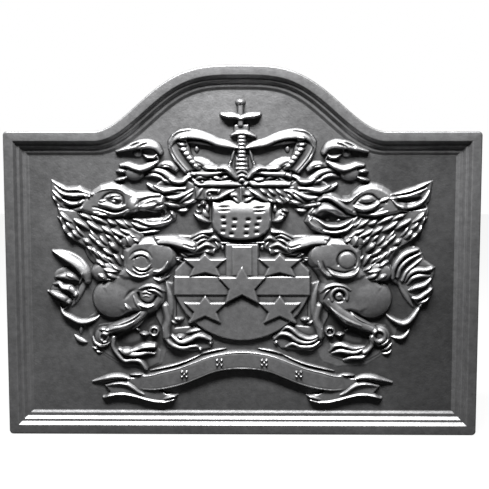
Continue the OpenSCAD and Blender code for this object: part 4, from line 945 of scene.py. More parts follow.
# Each part is a low mass first and carving over it; drawn for the left lion
lion = {
    "head": [
        ("slab", [(-241, 327), (-222, 319), (-205, 320), (-189, 312), (-178, 318), (-165, 321), (-150, 316),
          (-138, 309.6), (-124, 308.6), (-105, 309.6), (-96, 307), (-96, 291), (-100, 288), (-128, 289),
          (-146, 284), (-142, 279), (-110, 279), (-92, 283), (-88, 289), (-83, 284), (-84, 277), (-95, 270),
          (-112, 266), (-104, 263), (-112, 259), (-133, 257), (-142, 268), (-150, 280), (-184, 282),
          (-205, 288), (-228, 292), (-236, 297), (-242, 307)], 2.6, {"steep": 1.4, "soft": 2}),
        ("slab", [(-197, 305), (-189, 311.4), (-178, 318), (-165, 321.4), (-152, 319.6), (-143, 313),
          (-134, 309), (-122, 309.4), (-104, 310.6), (-97, 307), (-97, 293), (-112, 288), (-130, 289),
          (-146, 283), (-166, 280), (-186, 283), (-206, 288), (-206, 300)],
          8, {"steep": 1.05, "soft": 2, "blend": 1.5, "foot": 2}),
        ("mound", -115, 273, 26, 8, 5, {"turn": 5, "steep": 1.6, "blend": 2}),
        ("mound", -214, 305, 25, 13, 4, {"turn": -12, "steep": 1.2, "blend": 2}),
        ("cut", [(-143, 283), (-132, 284), (-118, 283), (-103, 282.6)], 3.4, 3.4), ("over",),
        ([(-240, 326), (-231, 319.6), (-221, 315.4), (-208, 315.8), (-198, 312), (-189, 309.8)],
          2.7, 6.5, "root"),
        ([(-237, 318.6), (-228, 310.8), (-217, 308.4), (-205, 308.4), (-193, 307.4)], 3.2, 7, "root"),
        ("cut", [(-224, 304.4), (-212, 303.4), (-201, 304.6)], 2.2, 5, "none"),
        ([(-227, 302), (-217, 297.4), (-207, 297.8), (-201, 302)], 2.9, 6.5),
        ([(-229, 288.6), (-214, 288.4), (-203, 291.6)], 2.6, 5.5, "root"),
        ("cut", [(-226, 294.6), (-214, 293.2), (-204, 295.2), (-198, 301)], 1.2, 3),
        ([(-240, 313.6), (-232, 306), (-226, 301.4)], 2, 4), ([(-240, 306), (-234, 299.6)], 1.8, 3.4),
        ([(-235, 296.6), (-229, 288.6)], 2.2, 4.6),
        ("mound", -137, 294, 8, 11, 4.4, {"full": 0.7, "steep": 1.2, "blend": 1}),
        ([(-186, 310.4), (-176, 315.4), (-165, 317), (-154, 315.6), (-146, 309)], 1.8, 1.2),
        ("cut", [(-179, 300), (-172, 308), (-161, 311.4), (-151.6, 307.6), (-149, 300.6), (-150, 295)],
          1.3, 2.2, "none"), ([(-169, 305), (-162, 308), (-154, 307.4)], 1.7, 2.4),
        ([(-164, 304), (-158, 304.4), (-152.6, 302.4)], 2.1, 2.6),
        ("cut", [(-171, 304), (-165, 297.8), (-157, 297.6), (-151, 300)], 1, 2),
        ("mound", -161.6, 300.2, 3.4, 2.2, 2.4, {"steep": 3, "blend": 0.3}),
        ([(-180, 297), (-169, 296), (-158, 292.8), (-148, 295)], 3.9, 4),
        ([(-180, 300.4), (-172, 301.4)], 1.7, 2),
        ("cut", [(-188, 293), (-178, 291.4), (-168, 289), (-160, 287.4), (-151, 289), (-143, 291)], 1.2, 2.6),
        ([(-184, 290.6), (-174, 288), (-165, 285), (-158, 284.4), (-150, 286.6), (-143, 290), (-134, 291.4),
          (-127, 295), (-119, 299.8), (-110, 302.8)], 1.5, 2.6),
        ([(-188, 286.4), (-178, 283.6), (-170, 282.6)], 2.4, 3),
        ("cut", [(-185, 285), (-174, 285)], 0.9, 1.4),
        ([(-150, 281), (-146, 286), (-139, 288.4), (-129, 288.6)], 1.9, 4),
        ("cut", [(-134, 295.6), (-126, 301.8), (-116, 305.2), (-103, 306.2)], 1.4, 3.2, "root"),
        ([(-128, 293.2), (-118, 295), (-108, 297)], 3.1, 3.8),
        ([(-110, 290.6), (-104, 292.2), (-98, 295.4)], 2.8, 4),
        ("mound", -103.4, 299.8, 5.2, 3.6, 4, {"turn": 5, "steep": 2.6, "blend": 0.4}),
        ([(-122, 290), (-113, 287.4), (-104, 286.2)], 1.5, 3.6),
        ([(-101, 292), (-96.6, 287.6), (-97.4, 281.6)], 1.6, 4.4),
        ([(-106, 288), (-101.6, 284), (-103, 280)], 1.4, 3.6),
        ([(-137, 277.8), (-129, 276), (-120, 272), (-111, 271.2), (-101, 273), (-92, 275), (-87, 280)],
          2.3, 6.4, "tip"), ([(-140, 273), (-131, 268.4), (-122, 266.4), (-116, 267.6)], 3, 6.4),
        ([(-122, 277), (-114, 276)], 1.1, 3), ([(-103, 275.4), (-95, 278.8), (-91, 283)], 1.8, 5.5),
        ([(-91, 288.6), (-87, 283.6), (-83.6, 278.6)], 2.9, 6.2, "lock"),
        ([(-133, 260), (-122, 261), (-112, 262.4), (-105, 262.4)], 2, 6),
        ("cut", [(-138, 266), (-126, 263.8), (-114, 266)], 1.2, 2.2),
        ([(-99, 298.4), (-88, 294.8), (-78, 292.4)], 2.7, 7),
        ([(-81, 289.4), (-74, 289.2), (-67, 291.6)], 2.3, 6)],
    "maneMass": [
        ("slab", [(-234, 292), (-205, 288), (-184, 282), (-150, 280), (-141, 268), (-124, 259), (-124, 251),
          (-138, 242), (-147, 235), (-150, 222), (-153, 204), (-167, 197), (-180, 203), (-186, 224),
          (-196, 240), (-212, 250), (-227, 262)], 4.4, {"steep": 2, "soft": 1.5}),
        ("mound", -172, 247, 30, 34, 5, {"steep": 1, "blend": 2}),
        ("mound", -192, 269, 30, 17, 4.8, {"turn": -20, "steep": 1, "blend": 2}),
        ("mound", -150, 262, 16, 18, 5, {"steep": 1, "blend": 2}),
        ("mound", -141, 250.4, 18, 10.5, 9.8, {"turn": 6, "full": 0.3, "steep": 2, "blend": 1}),
        ("mound", -172, 210, 23, 15, 8.4, {"full": 0.35, "steep": 1.6, "blend": 1}), ("over",)],
    "locks": [     # from x, z to x, z, and half width
        (-228, 285, -216, 275, 2.9), (-211, 277, -194, 266, 3.3), (-194, 274.6, -177, 263.6, 3.3),
        (-189, 281.4, -172, 273, 2.8), (-169, 277, -159, 272, 2.9), (-158, 276.4, -144.6, 267, 3),
        (-148, 276, -138.6, 269, 2.5), (-205, 285, -190, 277.6, 2.6), (-222, 274, -213, 266, 2.6),
        (-234, 281, -228, 273, 2.2), (-214, 263.4, -205.4, 255.4, 3), (-221, 258.6, -213, 251.6, 3.2),
        (-209, 267.6, -201, 257.6, 2.2), (-175.6, 267.4, -162.6, 258, 3.1), (-163.6, 264.6, -146, 256.2, 3.1),
        (-152, 264.4, -133.6, 255.6, 2.9), (-191, 263, -182, 252.6, 2.3), (-192.6, 257.4, -181, 245.6, 2.5),
        (-184, 250.6, -173.6, 242.4, 3), (-200, 252, -191.6, 246.4, 3.1), (-179, 255.6, -170.6, 246.6, 2.2),
        (-161, 256.4, -153, 246, 2.7), (-145, 255.4, -139.4, 243.4, 2.3), (-167, 247.6, -157.6, 238.4, 4.2),
        (-196, 243.4, -187.6, 238, 2.6), (-171.6, 257.6, -163.6, 249.4, 2.3), (-175, 240.4, -162, 232.6, 2.7),
        (-161.4, 232.4, -154, 220.6, 2.9), (-182, 235.4, -167, 221.8, 2.4), (-184, 224.6, -173.6, 218.6, 3),
        (-173.6, 214.6, -157.6, 212, 2.6), (-181, 207.4, -171.6, 200.6, 3.2),
        (-169.6, 209.4, -158, 203.6, 3.2), (-151, 245, -145, 237.4, 2.5), (-226, 269, -221, 260.6, 2.6),
        (-170, 201.4, -157, 199.2, 1.9), (-188, 240, -181, 230, 2.2), (-171, 229.6, -162.6, 221.6, 2),
        (-136, 253.6, -124, 248.6, 2.4), (-153, 231, -147.6, 222, 2.2), (-163, 219, -152.6, 213.4, 2.4),
        (-176, 232, -168.6, 224, 2.2)],
    "lock": {"longer": 0.08, "drop": 0.8, "bows": (-0.5, 0.9), "high": 6.2, "uneven": 0.4},
    "bodyMass": [
        ("slab", [(-146, 238), (-134, 247), (-112, 249), (-92, 247), (-88, 232), (-93, 214), (-99, 205),
          (-101, 197), (-97, 187), (-99, 172), (-108, 162), (-122, 157), (-138, 160), (-150, 157),
          (-162, 163), (-172, 176), (-179, 191), (-168, 203), (-150, 212), (-148, 226)],
          8.4, {"steep": 1.3, "soft": 3, "blend": 1.2}),
        ("slab", [(-100, 200), (-88, 196), (-84, 180), (-84, 150), (-94, 140), (-104, 150), (-102, 170)],
          2.4, {"steep": 1.4, "soft": 2}),
        ([(-97, 198), (-92, 178), (-91, 160), (-94, 145)], 6, 5.6, {"steep": 1.6, "blend": 1.5}),
        ("mound", -164, 176.5, 28, 26.5, 9.8, {"full": 0.42, "steep": 1.7, "blend": 2}),
        ("mound", -104, 232, 25, 22, 11.4, {"full": 0.28, "steep": 1.3, "blend": 2}),
        ("slab", [(-148, 238), (-136, 248.6), (-114, 250.4), (-98, 246), (-97, 216), (-108, 205),
          (-130, 201.6), (-150, 202), (-156, 207), (-148, 216)],
          10.4, {"steep": 1, "soft": 2, "blend": 2, "foot": 6}), ("over",)],
    "body": [
        ([(-140, 227.6), (-135, 232.6), (-127, 234.4), (-119, 230.8), (-116, 225)], 1.7, 1.5),
        ("cut", [(-142, 230), (-136.6, 236), (-127, 238.4), (-118.6, 235.4), (-114, 229)], 1.2, 1.8),
        ("cut", [(-138, 227.6), (-134, 230), (-130, 230.6)], 1, 1.6),
        ([(-135, 217), (-128, 213.8), (-121, 215), (-115, 221)], 1.5, 1.8),
        ([(-138, 214), (-131, 209.8), (-122, 210)], 1.2, 1.5),
        ([(-147, 213.6), (-138, 207), (-128, 204.8), (-119, 206.6)], 2, 2.8),
        ("cut", [(-136, 223), (-135, 229), (-129, 232), (-122, 230), (-119.6, 224)], 0.8, 1),
        ("cut", [(-138, 217), (-131, 212), (-122, 212), (-114, 216)], 1, 2.4),
        ("cut", [(-139, 211), (-128, 207.2), (-118, 209)], 1, 2.2),
        ([(-112, 211.6), (-104, 212), (-98, 216), (-94, 224)], 2.4, 4.6),
        ("cut", [(-113, 206), (-102, 207.4), (-91, 214)], 2, 3.6),
        ([(-112, 202.6), (-102, 200.2), (-91, 206)], 2.2, 3),
        ([(-131, 188.6), (-122, 192.8), (-114, 193.2), (-106, 190), (-97, 184.8)], 2.2, 4.6),
        ([(-121, 187.4), (-113, 187.8), (-106, 184.2), (-101, 178.4)], 1.9, 4.4),
        ("cut", [(-121, 190.4), (-112, 190.4), (-103, 186.4)], 0.9, 2.6),
        ("cut", [(-132, 183), (-129.6, 175.4), (-122, 171), (-114, 172.4), (-109.6, 179)], 1.6, 3.8, "none"),
        ([(-134, 170), (-126, 167.2), (-119, 166), (-112, 168.4)], 2, 4.2),
        ([(-127, 184), (-121, 185.4), (-115, 182.6)], 1.5, 1.5),
        ([(-127, 178.6), (-122, 180.4), (-117, 178.6)], 1.2, 0.8),
        ("cut", [(-121, 186), (-114, 184.4)], 0.8, 1.8), ([(-138, 180), (-134, 170), (-128, 162.6)], 2, 1.8),
        ([(-149, 169.6), (-145, 164.6), (-141, 162.4)], 2.4, 3.6),
        ("cut", [(-149, 176), (-143, 184), (-136, 188)], 2, 1.6)],
    "foreleg": [
        ("slab", [(-112, 257), (-90, 258.6), (-66, 257), (-52, 263), (-36, 267), (-28, 258), (-25, 244),
          (-38, 234), (-60, 233), (-80, 225), (-96, 222), (-104, 240)], 3.4, {"steep": 1.8, "soft": 1.5}),
        ("over",),
        ([(-132, 245.6), (-119, 247.6), (-106, 250.6), (-90, 250.4), (-76, 246.6), (-62, 243.6)],
          8.2, 9, [0.4, 0.75, 0.95, 1, 1, 0.95, 0.9], {"steep": 1.9, "lean": 0.7}),
        ("cut", [(-125, 247.4), (-114, 248.6), (-105, 252)], 1.1, 3.2),
        ("cut", [(-92, 254.4), (-80, 253.4), (-70, 250.6)], 0.8, 1.4),
        ([(-67, 252.6), (-58, 258), (-50, 261.4), (-38, 262)], 2.7, 7.6, "root"),
        ([(-66, 249), (-57, 254), (-49, 257.4), (-42, 254.6)], 2.3, 7.8),
        ([(-66, 244.6), (-58, 246.6), (-51, 251), (-45, 251.6)], 2.1, 7.2),
        ([(-75, 241.6), (-62, 237.6), (-53, 242.6), (-45, 246), (-35, 242)], 2.8, 7.6),
        ("cut", [(-73, 245.4), (-62, 242), (-55, 244.8), (-47, 250.4)], 1, 3),
        ([(-43, 250.4), (-35, 254.6), (-27, 250)], 2.4, 6.4),
        ([(-34, 249), (-30, 243.6), (-29, 239)], 1.6, 4), ([(-26, 244.4), (-22, 238)], 2, 5.6, "lock"),
        ([(-35, 239.4), (-37.6, 231)], 1.8, 4.8, "lock"), ([(-48, 236.4), (-41, 237)], 1.6, 3.6),
        ([(-93, 225.4), (-85, 221.4)], 2, 5.6, "lock"), ([(-83, 226), (-73, 221.4)], 2.2, 6.2, "lock"),
        ([(-79, 234.6), (-69, 229)], 2.1, 5.6, "lock"), ([(-91, 230), (-79, 227.8)], 1.8, 5, "lock"),
        ([(-76, 236), (-60, 232.6)], 2, 4.6, "lock")],
    "hindLeg": [
        ("slab", [(-186, 158), (-204, 147), (-198, 137), (-192, 116), (-176, 101), (-160, 91), (-122, 82),
          (-104, 90), (-97, 108), (-99, 140), (-105, 165)], 0.5, {"steep": 0.4, "soft": 0.3}),
        ("slab", [(-128, 166), (-143, 160), (-160, 146), (-184, 142), (-190, 132), (-188, 118), (-176, 104),
          (-160, 94), (-150, 90), (-122, 84), (-106, 92), (-104, 108), (-112, 118), (-140, 110), (-158, 112),
          (-162, 124), (-150, 132), (-134, 138), (-120, 152)], 1.2, {"steep": 1.5, "soft": 2}),
        ([(-124, 160), (-134, 151), (-148, 143.4), (-163, 138), (-176, 131)],
          9, 9.4, [0.75, 0.85, 0.95, 1, 0.9, 0.8, 0.7], {"steep": 1.9, "blend": 1.5, "full": 0.38, "lean": 0.2}),
        ("mound", -177, 127, 13, 13, 5.2, {"full": 0.4, "steep": 1.4, "blend": 1.5}), ("over",),
        ([(-129, 160), (-138, 152), (-150, 145.6), (-165, 142)], 2.2, 1.9),
        ([(-138, 147), (-150, 141.6), (-162, 139), (-171, 135.6)], 2.4, 2),
        ("cut", [(-130, 155), (-142, 147.6), (-156, 141.8)], 1, 1.8),
        ([(-126, 148), (-133, 142), (-141, 136)], 2.4, 4.4),
        ([(-183.6, 136), (-177, 136.8), (-170, 136)], 2.3, 4.6),
        ([(-181, 131.4), (-176, 131.8), (-170, 130)], 1.7, 4.2),
        ("ring", -177, 126.4, 5.2, -40, 250, 1.7, 2.4, "none"),
        ([(-183, 122.6), (-178, 119.6), (-171, 121)], 1.5, 3.4),
        ([(-191.6, 126), (-188.6, 118.4), (-182, 114.6), (-174, 115.6), (-169, 119)], 2.8, 5.4),
        ([(-192, 112), (-183, 109.6)], 2, 4.6, "lock"), ([(-188, 107.6), (-180, 104.6)], 1.8, 4.2, "lock"),
        ([(-164, 126), (-165.6, 114), (-159, 103), (-150.6, 95.6), (-141, 96.4), (-132.6, 95.4), (-127.4, 91),
          (-123.6, 85)], 3.3, 7.4, "none", {"steep": 2.4}),
        ([(-157, 110), (-149.6, 106), (-140, 104), (-131, 104.2), (-122, 106), (-112, 104.4)],
          4.6, 8.6, [0.6, 1, 1, 0.8, 0.6, 0.4]), ([(-157, 109), (-149, 107.4), (-139, 108)], 5.6, 8.4),
        ([(-142, 108), (-133, 111.6), (-125, 114.6), (-113, 114.8)], 5, 7.8, [0.7, 0.8, 1, 0.9])],
    "farLeg": [
        ("slab", [(-112, 170), (-90, 176), (-84, 150), (-86, 138), (-66, 140), (-50, 139), (-38, 126),
          (-40, 112), (-60, 108), (-80, 108), (-96, 112), (-102, 124), (-103, 138), (-110, 152)],
          2.2, {"steep": 1.6, "soft": 1.5}), ("over",),
        ([(-98, 166), (-94.6, 150), (-97, 138), (-97, 127)], 5.6, 5.4, "none", {"steep": 1.6, "blend": 1.5}),
        ([(-98, 126), (-92, 118.8), (-85, 114.6), (-75, 112.6), (-65, 114.4), (-58, 114.2), (-53, 109.6)],
          3.7, 7.6, "tip"),
        ([(-89, 127.4), (-82, 121.8), (-75, 120.6), (-67, 123.4), (-58, 128), (-50, 127.6), (-40, 123)],
          4.3, 8.6, [0.6, 1, 1, 0.9, 0.8, 0.6]), ("mound", -79, 126.4, 7, 4, 7, {"blend": 0.8}),
        ([(-71, 131.4), (-62, 134.6), (-53, 135.4)], 2.5, 6.6), ("mound", -40, 118.8, 3.8, 2.8, 6.6),
        ("mound", -53.6, 110, 2.4, 2.8, 5.4), ("mound", -80, 149.4, 6.6, 3.6, 8),
        ([(-91, 149), (-87, 145), (-81.6, 143.4)], 1.8, 5.4)],
    "tail": [
        ([(-241, 237), (-229, 232.4), (-217, 226.6), (-206.6, 219), (-199.6, 209.6), (-197, 199)],
          9.2, 9.6, [0.25, 0.7, 0.95, 1, 1, 1, 0.6], {"steep": 2, "blend": 1.5, "full": 0.9, "lean": 0.85}),
        ([(-198, 208), (-203, 192), (-211, 177), (-218, 166)], 5, 3, {"steep": 1.3, "blend": 1.5}),
        ([(-206, 142), (-207, 130)], 3.4, 4, {"steep": 1.6}),
        ("mound", -221, 204, 20, 13, 2.8, {"steep": 1, "blend": 1}),
        ("mound", -232, 185, 14, 14, 3.4, {"steep": 1, "blend": 1}), ("over",),
        ("cut", [(-230, 236.4), (-218, 232.4), (-207, 226.4), (-199, 218.6)], 0.8, 1.5),
        ([(-203, 209), (-205, 200), (-209, 192)], 1.6, 2.4),
        ([(-222, 168), (-229, 160), (-227, 152)], 1.8, 2.4),
        ([(-238, 203.6), (-226, 205), (-216, 202.6)], 4, 5, "root"),
        ([(-226, 207.6), (-216, 204.6), (-208, 198.6)], 4, 6, "lock"),
        ([(-242, 194.6), (-233, 195.8), (-228, 191.2), (-219, 189), (-212.6, 181.6)], 5, 7, "root"),
        ([(-249, 185.4), (-239, 182), (-230, 178), (-221.6, 172)], 5.4, 7.6, "root"),
        ([(-242, 179), (-230, 175)], 2, 7),
        ([(-233, 168), (-228.6, 157), (-219, 151), (-209, 146.2), (-199, 145.8), (-189, 149), (-183, 153)],
          4.8, 7.6, {"steep": 2.2, "lean": 0.5}), ([(-215, 128), (-209, 122.6), (-199, 118.6)], 3.4, 3.2)],
    "tassel": [
        ("ring", -112.4, 133.6, 5.2, 0, 360, 2.4, 8.6, "none"), ("mound", -112, 133.4, 3.6, 3.6, 3.4),
        ("mound", -112, 138, 5.4, 2.6, 9.4), ([(-131, 131), (-126, 130.4), (-119, 129.6)], 3.4, 8.6),
        ([(-137, 138), (-131, 134)], 1.9, 5)],
}

# Where the right-hand lion differs; drawn turned over, as if it stood on the left
otherLion = {
    "head": [
        ("slab", [(-240, 326), (-222, 319), (-205, 314), (-189, 310), (-178, 317), (-165, 321), (-150, 317),
          (-138, 307), (-128, 304), (-112, 310), (-100, 309), (-93, 302), (-92, 292), (-84, 286), (-82, 277),
          (-88, 268), (-100, 261), (-118, 259), (-133, 262), (-142, 272), (-150, 280), (-184, 282),
          (-205, 288), (-228, 292), (-236, 300)], 2.6, {"steep": 1.4, "soft": 2}),
        ("slab", [(-197, 303), (-191, 307.6), (-184, 312.8), (-177, 317), (-170, 319.4), (-163, 320.4),
          (-156, 319.2), (-149, 315.6), (-142, 309.4), (-136, 302), (-140, 290), (-150, 284), (-166, 281),
          (-186, 283), (-206, 288), (-206, 298)], 8, {"steep": 1.05, "soft": 2, "blend": 1.5, "foot": 2}),
        ("slab", [(-138, 304), (-126, 304), (-112, 311), (-101, 310), (-94, 303), (-93, 292), (-86, 285),
          (-99, 282), (-106, 287), (-120, 287), (-134, 282), (-144, 281), (-147, 294)],
          7.6, {"steep": 1.2, "soft": 2, "blend": 1.5, "foot": 2}),
        ("slab", [(-84, 282), (-81, 275), (-88, 266.6), (-101, 259.6), (-118, 258.6), (-134, 262),
          (-143, 272), (-146, 281), (-134, 276), (-122, 272), (-106, 273), (-98, 279)],
          5.8, {"steep": 1.3, "soft": 2, "blend": 1.5, "foot": 2}),
        ("mound", -214, 306, 25, 13, 4.2, {"turn": -12, "steep": 1.2, "blend": 2}), ("over",),
        ([(-188, 309), (-200, 311.6), (-214, 315.6), (-226, 320.6), (-238, 325.6)], 3.6, 5.2),
        ([(-186, 303.6), (-196, 305.6), (-208, 307.4), (-220, 311.4), (-233, 316.4)], 2.7, 3.8),
        ("cut", [(-197, 300.6), (-210, 301.6), (-223, 304)], 2.6, 5, "none"),
        ([(-189, 302), (-196, 295.6), (-207, 293), (-219, 295.4), (-229, 302), (-236, 313)], 3.3, 5),
        ([(-200, 289.4), (-214, 287.4), (-229, 289)], 3, 4.2, "root"),
        ([(-230, 300), (-234, 290), (-232, 278)], 1.9, 2.8),
        ("cut", [(-141, 297), (-147, 303.8), (-155, 308.8), (-164, 308.4), (-171, 303), (-181, 299.6)],
          1.3, 2.6, "none"), ("mound", -157, 302.8, 7.5, 3.6, 2.8),
        ("cut", [(-146, 299.6), (-154, 297.4), (-163, 298.6), (-170, 302)], 1.1, 2.4),
        ([(-142, 293.6), (-152, 291.2), (-162, 293), (-173, 298.6)], 3.8, 4.4),
        ([(-172, 300), (-185, 305)], 2.2, 2.2),
        ("cut", [(-141, 289), (-152, 286.2), (-164, 287.4), (-177, 293)], 1.2, 2.4),
        ([(-157, 283.4), (-170, 283.8), (-184, 288)], 2.4, 3),
        ("cut", [(-96, 297.6), (-103, 301.6), (-110, 301.2), (-118, 296.4), (-126, 289.6), (-134, 284.8),
          (-143, 282)], 1.6, 3.8, "none"),
        ([(-96, 301.6), (-104, 306), (-112, 305), (-121, 299.6), (-130, 293), (-138, 288.6)], 3.4, 4.6),
        ([(-113, 307.4), (-121, 304), (-129, 301.6), (-136, 302.6), (-143, 308), (-150, 312.4)], 2.4, 2.6),
        ("cut", [(-101, 307.4), (-110, 307.6), (-119, 302.8)], 0.9, 2),
        ([(-93, 285), (-98, 290.4), (-105, 292.4), (-112, 290.6), (-120, 286), (-131, 281.4)], 4.8, 5.2),
        ([(-92, 297), (-88, 290.6), (-83.6, 284)], 2.4, 3.6), ("mound", -108, 277.6, 2.6, 2, 2.2),
        ("mound", -122, 276.6, 2.6, 2, 2),
        ([(-96, 276.6), (-105, 271), (-116, 268.8), (-128, 271.4), (-140, 278.4)], 3.1, 4.8),
        ([(-89, 281.6), (-85, 276), (-90, 270.2), (-100, 264.6)], 2.9, 4.4),
        ([(-103, 263.2), (-116, 261.2), (-130, 263.8), (-142, 271.4)], 2.7, 4),
        ([(-99, 298.4), (-88, 294.8), (-78, 292.4)], 2.7, 4),
        ([(-81, 289.4), (-74, 289.2), (-67, 291.6)], 2.6, 4)],
    "body": [
        ("ringCut", -132.6, 226, 12.2, -25, 215, 1.3, 2.6, "none"),
        ("mound", -132.6, 226, 10.6, 10, 2.2, {"full": 0.3, "steep": 1.6, "blend": 0.4}),
        ([(-109, 213), (-118, 207.6), (-130, 205.2), (-142, 208.4), (-148.6, 217)], 2.9, 4.2),
        ("cut", [(-108, 217), (-118, 212.6), (-130, 210.6), (-141, 213.6)], 1.2, 2.4),
        ([(-96, 225), (-100, 214.6), (-107, 207.6), (-114, 205.4)], 2.2, 3.4),
        ("cut", [(-102, 224), (-106, 214.6), (-113, 210)], 1.4, 2.4),
        ("ringCut", -123.4, 180, 6.4, -120, 190, 1.3, 3.2, "none"),
        ("ring", -123.4, 180, 10.4, -30, 200, 2.2, 2.2, "none"),
        ([(-120.4, 180), (-124.4, 181.6), (-127.4, 178.4)], 1.5, 1),
        ([(-99, 184), (-106, 191), (-117, 194.8), (-129, 193.2), (-138, 187.6)], 2.3, 3.8),
        ([(-103, 177), (-106, 184.6), (-112, 189.6)], 1.7, 2.6),
        ("cut", [(-104, 170), (-110, 163), (-119, 158)], 1.4, 2)],
    "hindLeg": [
        ("slab", [(-186, 158), (-204, 147), (-198, 137), (-194, 116), (-176, 101), (-160, 91), (-122, 88),
          (-104, 94), (-97, 108), (-99, 140), (-105, 165)], 0.5, {"steep": 0.4, "soft": 0.3}),
        ("slab", [(-128, 166), (-143, 160), (-160, 146), (-184, 142), (-190, 132), (-188, 118), (-176, 104),
          (-162, 96), (-132, 94), (-112, 102), (-112, 118), (-140, 116), (-158, 116), (-162, 124),
          (-150, 132), (-134, 138), (-120, 152)], 1.2, {"steep": 1.5, "soft": 2}),
        ([(-112, 174), (-120, 164), (-133, 154), (-149, 144.6), (-169, 135.6)],
          10, 10, [0.85, 1, 1, 0.85, 0.66], {"steep": 1.8, "blend": 1.5, "full": 0.38, "lean": 0.2}),
        ("mound", -176, 128, 14, 14, 5.2, {"full": 0.4, "steep": 1.4, "blend": 1.5}), ("over",),
        ([(-131, 171), (-138, 161.6), (-147, 153), (-162, 144.6), (-170, 141.6)], 2.1, 3),
        ([(-106, 172), (-116, 161), (-132, 150.4), (-152, 142)], 2.2, 2.6),
        ([(-122, 154), (-132, 146), (-142, 141)], 2, 3.2), ("ring", -175, 129, 7.6, 0, 360, 2.7, 3, "none"),
        ([(-174, 115.4), (-182, 118), (-189.6, 124.4)], 2.4, 4.2),
        ([(-179, 109.4), (-186, 112.4), (-191.6, 118)], 2.3, 4),
        ([(-180, 104.4), (-187, 105.8), (-191.6, 109.4)], 2.1, 3.8),
        ([(-165, 127), (-166, 117), (-161, 110), (-156, 107)], 3.4, 5.6, "none"),
        ([(-112, 108), (-118, 115), (-126, 117.4), (-134, 115), (-143, 112), (-157, 113.4)], 3.6, 6.4),
        ([(-115, 105.6), (-126, 108.8), (-138, 107.2), (-147, 107.4), (-157, 112)], 3.6, 6.6),
        ([(-130, 96.6), (-140, 100), (-154, 100.6), (-162, 107)], 3.2, 5.6)],
    "farLeg": [
        ("slab", [(-112, 170), (-90, 176), (-84, 150), (-86, 140), (-66, 142), (-50, 142), (-38, 126),
          (-50, 112), (-66, 110), (-90, 108), (-102, 116), (-103, 138), (-110, 152)],
          2.2, {"steep": 1.6, "soft": 1.5}), ("over",),
        ([(-98, 166), (-94.6, 150), (-99, 138), (-101, 128)], 5.6, 5.4, "none", {"steep": 1.6, "blend": 1.5}),
        ([(-50, 134), (-57, 139.6), (-64, 137), (-73, 129.4), (-84, 124.8), (-94, 126.6), (-102, 134)],
          3.5, 6.4),
        ([(-41, 123.6), (-50, 130.8), (-60, 129.6), (-71, 122.6), (-82, 119.6), (-93, 122.4), (-101, 129)],
          3.4, 6.2), ([(-56, 113.4), (-65, 118), (-75, 114.6), (-90, 114.8), (-101, 122)], 3, 5.4),
        ("mound", -43, 119, 3.4, 2.6, 4), ("mound", -80, 149.4, 6.6, 3.6, 8),
        ([(-91, 149), (-87, 145), (-81.6, 143.4)], 1.8, 5.4)],
    "tail": [
        ("slab", [(-188, 200), (-190, 222), (-200, 236), (-218, 244), (-226, 240), (-232, 226), (-243, 218),
          (-244, 208), (-240, 196), (-243, 188), (-236, 172), (-226, 166), (-216, 176), (-204, 190)],
          3.2, {"steep": 1.3, "soft": 2}),
        ([(-198, 208), (-203, 192), (-211, 177), (-218, 166)], 5, 3.4, {"steep": 1.3, "blend": 1.5}),
        ("over",),
        ([(-191, 203), (-192, 215), (-198, 226.6), (-208, 235.4), (-223, 240)],
          5, 7.2, [0.6, 0.9, 1, 0.9, 0.5], {"steep": 2.4}),
        ([(-197, 205), (-200, 216), (-207.6, 224.6), (-217, 230.4), (-229, 235)], 3.5, 5.2, "tip"),
        ([(-203, 200), (-208, 211), (-216.6, 219), (-228, 227.6)], 3, 4.6, "tip"),
        ([(-207, 198), (-212, 208), (-221, 213.6), (-233, 213.6), (-245, 216.6)], 3.7, 5.4),
        ([(-210, 195), (-216, 203), (-226, 206.4), (-238, 205.6)], 3.1, 4.6),
        ([(-212, 187), (-221, 191.4), (-231, 194.6), (-240, 201.6)], 3.5, 5),
        ([(-216, 177), (-224, 177.6), (-233, 183.6), (-242, 190)], 3.6, 5.2),
        ([(-224, 170.6), (-232, 173.4), (-240, 178.4)], 2.5, 3.8),
        ([(-183, 157), (-190, 151), (-200, 146), (-208, 145), (-215, 149.6), (-222, 159), (-229, 170)],
          4.8, 7.4, {"steep": 2.2}), ([(-191, 127), (-203, 125.6), (-210, 130.4), (-214, 137)], 3.2, 4.8)],
}


# One lock of the mane: a ridge a little longer at both ends than drawn, bowed to one side and the
# other in turn, and of three heights in turn
def lockRidge(k, x0, z0, x1, z1, wide, m):
    dx, dz = (x1 - x0) * m["longer"], (z1 - z0) * m["longer"]
    x0, z0, x1, z1 = x0 - dx, z0 - dz, x1 + dx, z1 + dz
    bow = m["bows"][k % 2]
    points = [(x0, z0), ((x0 + x1) / 2 + bow * 0.5, (z0 + z1) / 2 + bow), (x1, z1)]
    points = [(x, z - m["drop"]) for x, z in points]
    return points, wide, m["high"] + m["uneven"] * (k % 3), "lock", {"steep": 2.8, "blend": 0.35}


# All parts of one lion
def makeLion(name, side, work):
    locks = [lockRidge(k, *lock, work["lock"]) for k, lock in enumerate(work["locks"])]
    parts = {"head": work["head"], "mane": work["maneMass"] + locks, "body": work["bodyMass"] + work["body"],
             "foreleg": work["foreleg"], "hind_leg": work["hindLeg"], "far_leg": work["farLeg"],
             "tail": work["tail"], "tassel": work["tassel"]}
    for part, lines in parts.items():
        carvePiece("lion_" + name + "_" + part, lines, side)


makeLion("left", 1, lion)
makeLion("right", -1, {**lion, **otherLion})
print("lions carved")

